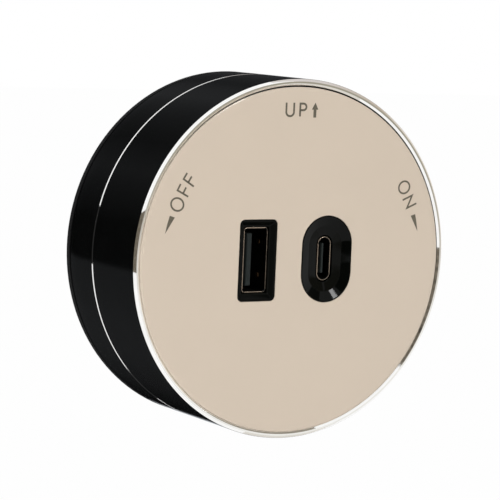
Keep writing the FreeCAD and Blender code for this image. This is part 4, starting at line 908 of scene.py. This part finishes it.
def drawn(points, closed):
    """Extrudes one vertex through points of (across, up), in millimetres, on the face."""
    across, up = points[0]
    place = (across * MM, -(FACE - ROOT) * MM, up * MM)
    bpy.ops.mesh.primitive_plane_add(size=0.1 * MM, location=place)
    line = added()
    bpy.ops.mesh.select_mode(type="VERT")
    bpy.ops.mesh.merge(type="CENTER")
    path = list(points[1:]) + [points[0]] * closed
    for to_across, to_up in path:
        step = ((to_across - across) * MM, 0, (to_up - up) * MM)
        bpy.ops.mesh.extrude_vertices_move(TRANSFORM_OT_translate={"value": step})
        across, up = to_across, to_up
    bpy.ops.mesh.select_all(action="SELECT")
    bpy.ops.mesh.remove_doubles(threshold=0.001 * MM)
    return line


# %% [markdown]
# The line of a pen stroke is raised into a thin ribbon standing on the face, and Solidify gives it the pen's width.
# The arrows are filled outlines raised the same way.

# %% Pen strokes and filled shapes
PEN, BOLD_PEN = 0.37, 0.42
RAISED = {"value": (0, -(INK + ROOT) * MM, 0)}


def pen_stroke(points, closed=False, wide=PEN):
    """A stroke with flat ends, as wide as the pen."""
    line = drawn(points, closed)
    bpy.ops.mesh.extrude_edges_move(TRANSFORM_OT_translate=RAISED)
    bpy.ops.mesh.select_all(action="SELECT")
    bpy.ops.mesh.normals_make_consistent(inside=False)
    close_mesh()
    apply_modifier(line, "SOLIDIFY", thickness=wide * MM, offset=0.0, use_even_offset=True)
    return line


def filled(points):
    """A filled outline, raised by the ink's height."""
    shape = drawn(points, True)
    bpy.ops.mesh.edge_face_add()
    bpy.ops.mesh.extrude_region_move(TRANSFORM_OT_translate=RAISED)
    close_mesh()
    return shape


# %% [markdown]
# Letters on the left and right follow the rim, with their tops outwards. A letter is drawn on its own upright grid,
# which is then laid on the face at its angle: clockwise from the UP mark, with heights as radii.

# %% Where letters go
CROSSBAR, CORNER_CUT, WEDGE_STEPS = 0.86, 0.42, 8


def on_face(angle, spots):
    """Lays spots of (sideways, radius) on the face at an angle clockwise from the top."""
    turn = math.radians(angle)
    return [(r * math.sin(turn) + u * math.cos(turn), r * math.cos(turn) - u * math.sin(turn)) for u, r in spots]


def letter_o(angle, base, cap, wide):
    """An oval in one stroke."""
    spots = arc((0, (base + cap) / 2), wide / 2 - PEN / 2, (cap - base) / 2 - PEN / 2, 0, 360, 40)[:-1]
    return [pen_stroke(on_face(angle, spots), closed=True)]


def letter_f(angle, base, cap, wide, middle):
    """A stem with its top bar, and a shorter bar at middle height."""
    stem = [(wide - PEN / 2, cap - PEN / 2), (0, cap - PEN / 2), (0, base)]
    arm = [(0, middle), (wide * CROSSBAR, middle)]
    return [pen_stroke(on_face(angle, stem)), pen_stroke(on_face(angle, arm))]


def letter_n(angle, base, cap, wide):
    """Two stems and a slant in one stroke."""
    side = wide / 2 - PEN / 2
    slant = [(-side, base), (-side, cap - CORNER_CUT), (side, base + CORNER_CUT), (side, cap)]
    return [pen_stroke(on_face(angle, slant))]


def wedge(base_angle, tip_angle, low, high, tip):
    """A long arrow head that follows the rim."""
    outline = on_face(base_angle, [(0, low)])
    for step in range(WEDGE_STEPS + 1):
        share = step / WEDGE_STEPS
        outline += on_face(base_angle + (tip_angle - base_angle) * share, [(0, high + (tip - high) * share)])
    return [filled(outline)]


# %% [markdown]
# Each letter gets its angle or place, its lowest and highest edge and its width, as measured on the photograph.

# %% Draw UP, OFF and ON
letter_u = [(-3.33, 31.27)] + arc((-2.44, 29.40), 0.89, 0.80, 180, 360) + [(-1.55, 31.27)]
letter_p = [(-0.12, 28.56), (-0.12, 31.1)] + arc((0.62, 30.455), 0.68, 0.645, 90, -90) + [(-0.12, 29.81)]
arrow = [(3.38, 31.34), (4.10, 29.95), (3.66, 29.95), (3.66, 28.37), (3.0, 28.37), (3.0, 29.95), (2.60, 29.95)]
up = [pen_stroke(letter_u, wide=BOLD_PEN), pen_stroke(letter_p, wide=BOLD_PEN), filled(arrow)]

off = letter_o(-67.35, 27.72, 30.9, 2.8) + letter_f(-62.65, 27.8, 30.72, 1.58, 29.13)
off += letter_f(-57.95, 27.8, 30.72, 1.6, 29.3) + wedge(-72.3, -79.25, 28.84, 30.02, 30.02)
on = letter_o(60.7, 27.83, 30.87, 2.8) + letter_n(67.15, 27.95, 30.82, 2.32) + wedge(72.8, 79.7, 28.83, 29.96, 29.85)
for strokes, name in ((up, "mark_up"), (off, "mark_off"), (on, "mark_on")):
    joined(strokes, name, "warm_grey_ink")

# %% [markdown]
# ## Floor, studio and light
# The photograph shows the adapter before pure white, with a black body that mirrors a studio: white around, dark
# panels behind and to the left. The floor is pale and lies a little below. What the camera and the reflections see
# of floor and world is plain white, while what lights the object is softer.

# %% White for the eye, soft light for the object
def seen_or_lighting(tree):
    """1 for rays of the camera, of gloss and of glass, and 0 for those that light the object."""
    path = wired(tree, "LightPath")
    rays = [path.outputs[f"Is {kind} Ray"] for kind in ("Camera", "Glossy", "Transmission")]
    both = maths(tree, "MAXIMUM", rays[0], rays[1])
    return maths(tree, "MAXIMUM", both, rays[2])


ROOM_LIGHT = 0.36
FLOOR, FLOOR_WIDE, FLOOR_GLOW = -0.32, 14, 0.985

world = bpy.data.worlds.new("studio")
bpy.context.scene.world = world
world.use_nodes = True
tree = world.node_tree
sky = tree.nodes["Background"]
level = wired(tree, "MapRange", {"Value": seen_or_lighting(tree), "To Min": ROOM_LIGHT, "To Max": 1.0})
tree.links.new(level.outputs[0], sky.inputs["Strength"])
sky.inputs["Color"].default_value = (1, 1, 1, 1)

bpy.ops.mesh.primitive_plane_add(size=FLOOR_WIDE, location=(0, 0, FLOOR))
floor = bpy.context.object
floor.name = "pale_floor"
bpy.ops.object.transform_apply(location=True)
floor_paint, tree, shader = new_finish("pale_floor_paint", (0.9, 0.9, 0.9), 0.8)
glow = wired(tree, "Emission", {"Color": (1, 1, 1, 1), "Strength": 1.0})
share = maths(tree, "MULTIPLY", seen_or_lighting(tree), FLOOR_GLOW)
mixed = wired(tree, "MixShader", {0: share, 1: shader.outputs[0], 2: glow.outputs[0]})
tree.links.new(mixed.outputs[0], tree.nodes["Material Output"].inputs["Surface"])
floor.data.materials.append(floor_paint)
print("floor at", FLOOR)

# %% [markdown]
# ### Panels for the reflections
# Only reflections see the panels, which give the body its deep stripes and the bright cuts their dark breaks. Their
# paint glows, so no lamp changes it, and is shaded up a panel's height or round its middle by a colour ramp.

# %% A glowing paint
def shaded(name, shades, around, weave):
    """A glowing paint, with shades of (place, tone) up a panel's height or round its middle, and a weave."""
    material = bpy.data.materials.new(name)
    material.use_nodes = True
    tree = material.node_tree
    tree.nodes.clear()
    place = object_place(tree)
    if around:
        share = wired(tree, "TexGradient", {"Vector": place}, gradient_type="RADIAL").outputs["Fac"]
    else:
        height = wired(tree, "SeparateXYZ", {0: place}).outputs["Y"]
        share = maths(tree, "ADD", height, 0.5)
    ramp = wired(tree, "ValToRGB", {0: share})
    marks = ramp.color_ramp.elements
    while len(marks) < len(shades):
        marks.new(0.5)
    for mark, (spot, tone) in zip(marks, sorted(shades)):
        mark.position = spot
        mark.color = (*tone, 1) if isinstance(tone, tuple) else (tone, tone, tone, 1)
    glow = wired(tree, "Emission", {"Color": ramp.outputs[0]})
    if weave:
        threads = {"Value": soft_noise(tree, 26.0, 3.0), "From Min": 0.35, "From Max": 0.65}
        threads.update({"To Min": 0.35, "To Max": 1.7})
        tree.links.new(wired(tree, "MapRange", threads).outputs[0], glow.inputs["Strength"])
    tree.links.new(glow.outputs[0], wired(tree, "OutputMaterial").inputs["Surface"])
    return material


# %% [markdown]
# A panel is a card that faces a point, or a ring, which is a circle extruded inwards. Switches on the object hide it
# from the camera and keep it from lighting or shading anything.

# %% A panel
def panel(name, middle, wide, tall, shades, toward=(0, 0, 0), hole=None, weave=False):
    """A card of one tone or of shades, or a ring where a share of it is a hole."""
    if hole:
        bpy.ops.mesh.primitive_circle_add(vertices=96, radius=0.5, location=middle)
        open_mesh()
        bpy.ops.mesh.extrude_edges_move()
        bpy.ops.transform.resize(value=(hole, hole, 1))
        close_mesh()
    else:
        bpy.ops.mesh.primitive_plane_add(size=1, location=middle)
    card = bpy.context.object
    facing = (Vector(middle) - Vector(toward)).to_track_quat("Z", "Y")
    card.rotation_euler = facing.to_euler()
    card.scale = (wide, tall, 1)
    card.name = name
    if not isinstance(shades, list):
        shades = [(0, shades), (1, shades)]
    card.data.materials.append(shaded(name, shades, bool(hole), weave))
    card.visible_camera = card.visible_diffuse = card.visible_shadow = False
    card.visible_transmission = False
    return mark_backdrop(card)


# %% [markdown]
# The ring behind is shaded by the place on the sleeve that mirrors it: 0 is the sleeve's left side, 90 its top. A
# sleeve turns a reflection twice as fast as its own angle, which places each tone on the ring. Its tones are a
# little cool, and those of the other panels are warm.

# %% Place the panels
BEHIND = [
    (-84, 0.05), (-79.5, 0.05), (-78.5, 0.9), (-67, 0.9), (-63, 0.0), (-50, 0.02), (-40, 0.078), (-20, 0.275),
    (-2.8, 0.35), (-2.3, 0.0), (11, 0.0), (28, 0.28), (39, 0.10), (60, 0.20), (72, 0.056), (88, 0.045),
]
RING_TURN, COOL = 11.8, (0.96, 1.0, 1.05)
around = [((2 * angle - RING_TURN) / 360 + 0.5, tuple(part * tone for part in COOL)) for angle, tone in BEHIND]
CLOTH, BELOW, SHADE = (0.155, 0.135, 0.105), (0.74, 0.71, 0.66), (0.30, 0.27, 0.22)
BESIDE = [
    (0, (0.80, 0.76, 0.70)), (0.216, (0.72, 0.66, 0.58)), (0.248, (0.53, 0.46, 0.38)), (0.45, (0.68, 0.64, 0.62)),
]
BEFORE = [
    (0.455, (0.88, 0.87, 0.84)), (0.50, (0.65, 0.62, 0.57)), (0.54, (0.46, 0.43, 0.37)), (0.58, (0.36, 0.335, 0.27)),
]
STEPS = ((0.47, -0.37, 0.92), (0.67, -0.25, 0.84), (0.85, -0.13, 0.69), (0.96, -0.02, 0.54))

panel("panel_behind", (0, 0.40, 0), 0.62, 0.62, around, hole=0.5)
panel("panel_left", (-0.89, -0.47, 0.06), 0.46, 0.50, CLOTH, weave=True)
panel("panel_left_tall", (-0.72, -0.72, 0.22), 0.26, 0.84, CLOTH, weave=True)
panel("panel_left_far", (-0.99, -0.15, 0.05), 0.22, 0.50, 0.02, toward=(0, 0, 0.05))
panel("panel_left_high", (-0.56, -0.74, 0.70), 0.24, 0.66, CLOTH, toward=(0, 0, 0.1), weave=True)
panel("panel_right", (1.11, 0.31, 1.55), 0.98, 4.0, BESIDE, toward=(0, 0, 1.55))
panel("panel_front", (0.60, -1.04, -0.13), 0.8, 0.8, BEFORE)
panel("panel_below", (0.19, -0.04, -0.30), 0.24, 0.34, BELOW, toward=(0.19, -0.04, 0))
panel("panel_below_seam", (-0.10, 0.06, -0.30), 0.12, 0.13, 0.04, toward=(-0.10, 0.06, 0))
for number, place in enumerate(STEPS):
    panel(f"panel_step_{number}", place, 0.29, 0.29, SHADE)
panel("panel_camera", (-0.37, -0.91, 0.15), 0.86, 0.62, 0.02)
panel("panel_corner", (0.87, -0.50, 0.47), 0.5, 0.45, 0.15)
print("panels done")

# %% [markdown]
# ### Lamps
# Two wide lamps give the shape its light without a mirror image of their own. A small one at the front right does
# show, as the soft glint in the dished surround.

# %% Soft lamps
for name, place, wide, tall, watts in (
    ("lamp_above", (-0.1, -0.25, 1.0), 1.2, 1.2, 1.5),
    ("lamp_low", (-0.6, -1.0, -0.1), 0.9, 0.9, 8.7),
    ("lamp_front", (0.27, -1.05, 0.56), 0.20, 0.11, 2.1),
):
    bpy.ops.object.light_add(type="AREA", location=place)
    lamp = bpy.context.object
    lamp.rotation_euler = Vector(place).to_track_quat("Z", "Y").to_euler()
    lamp.name = name
    lamp.data.shape = "RECTANGLE"
    lamp.data.size, lamp.data.size_y = wide, tall
    lamp.data.energy = watts
    lamp.visible_glossy = name == "lamp_front"

view = bpy.context.scene.view_settings
view.view_transform = "Standard"
print("view transform:", view.view_transform)
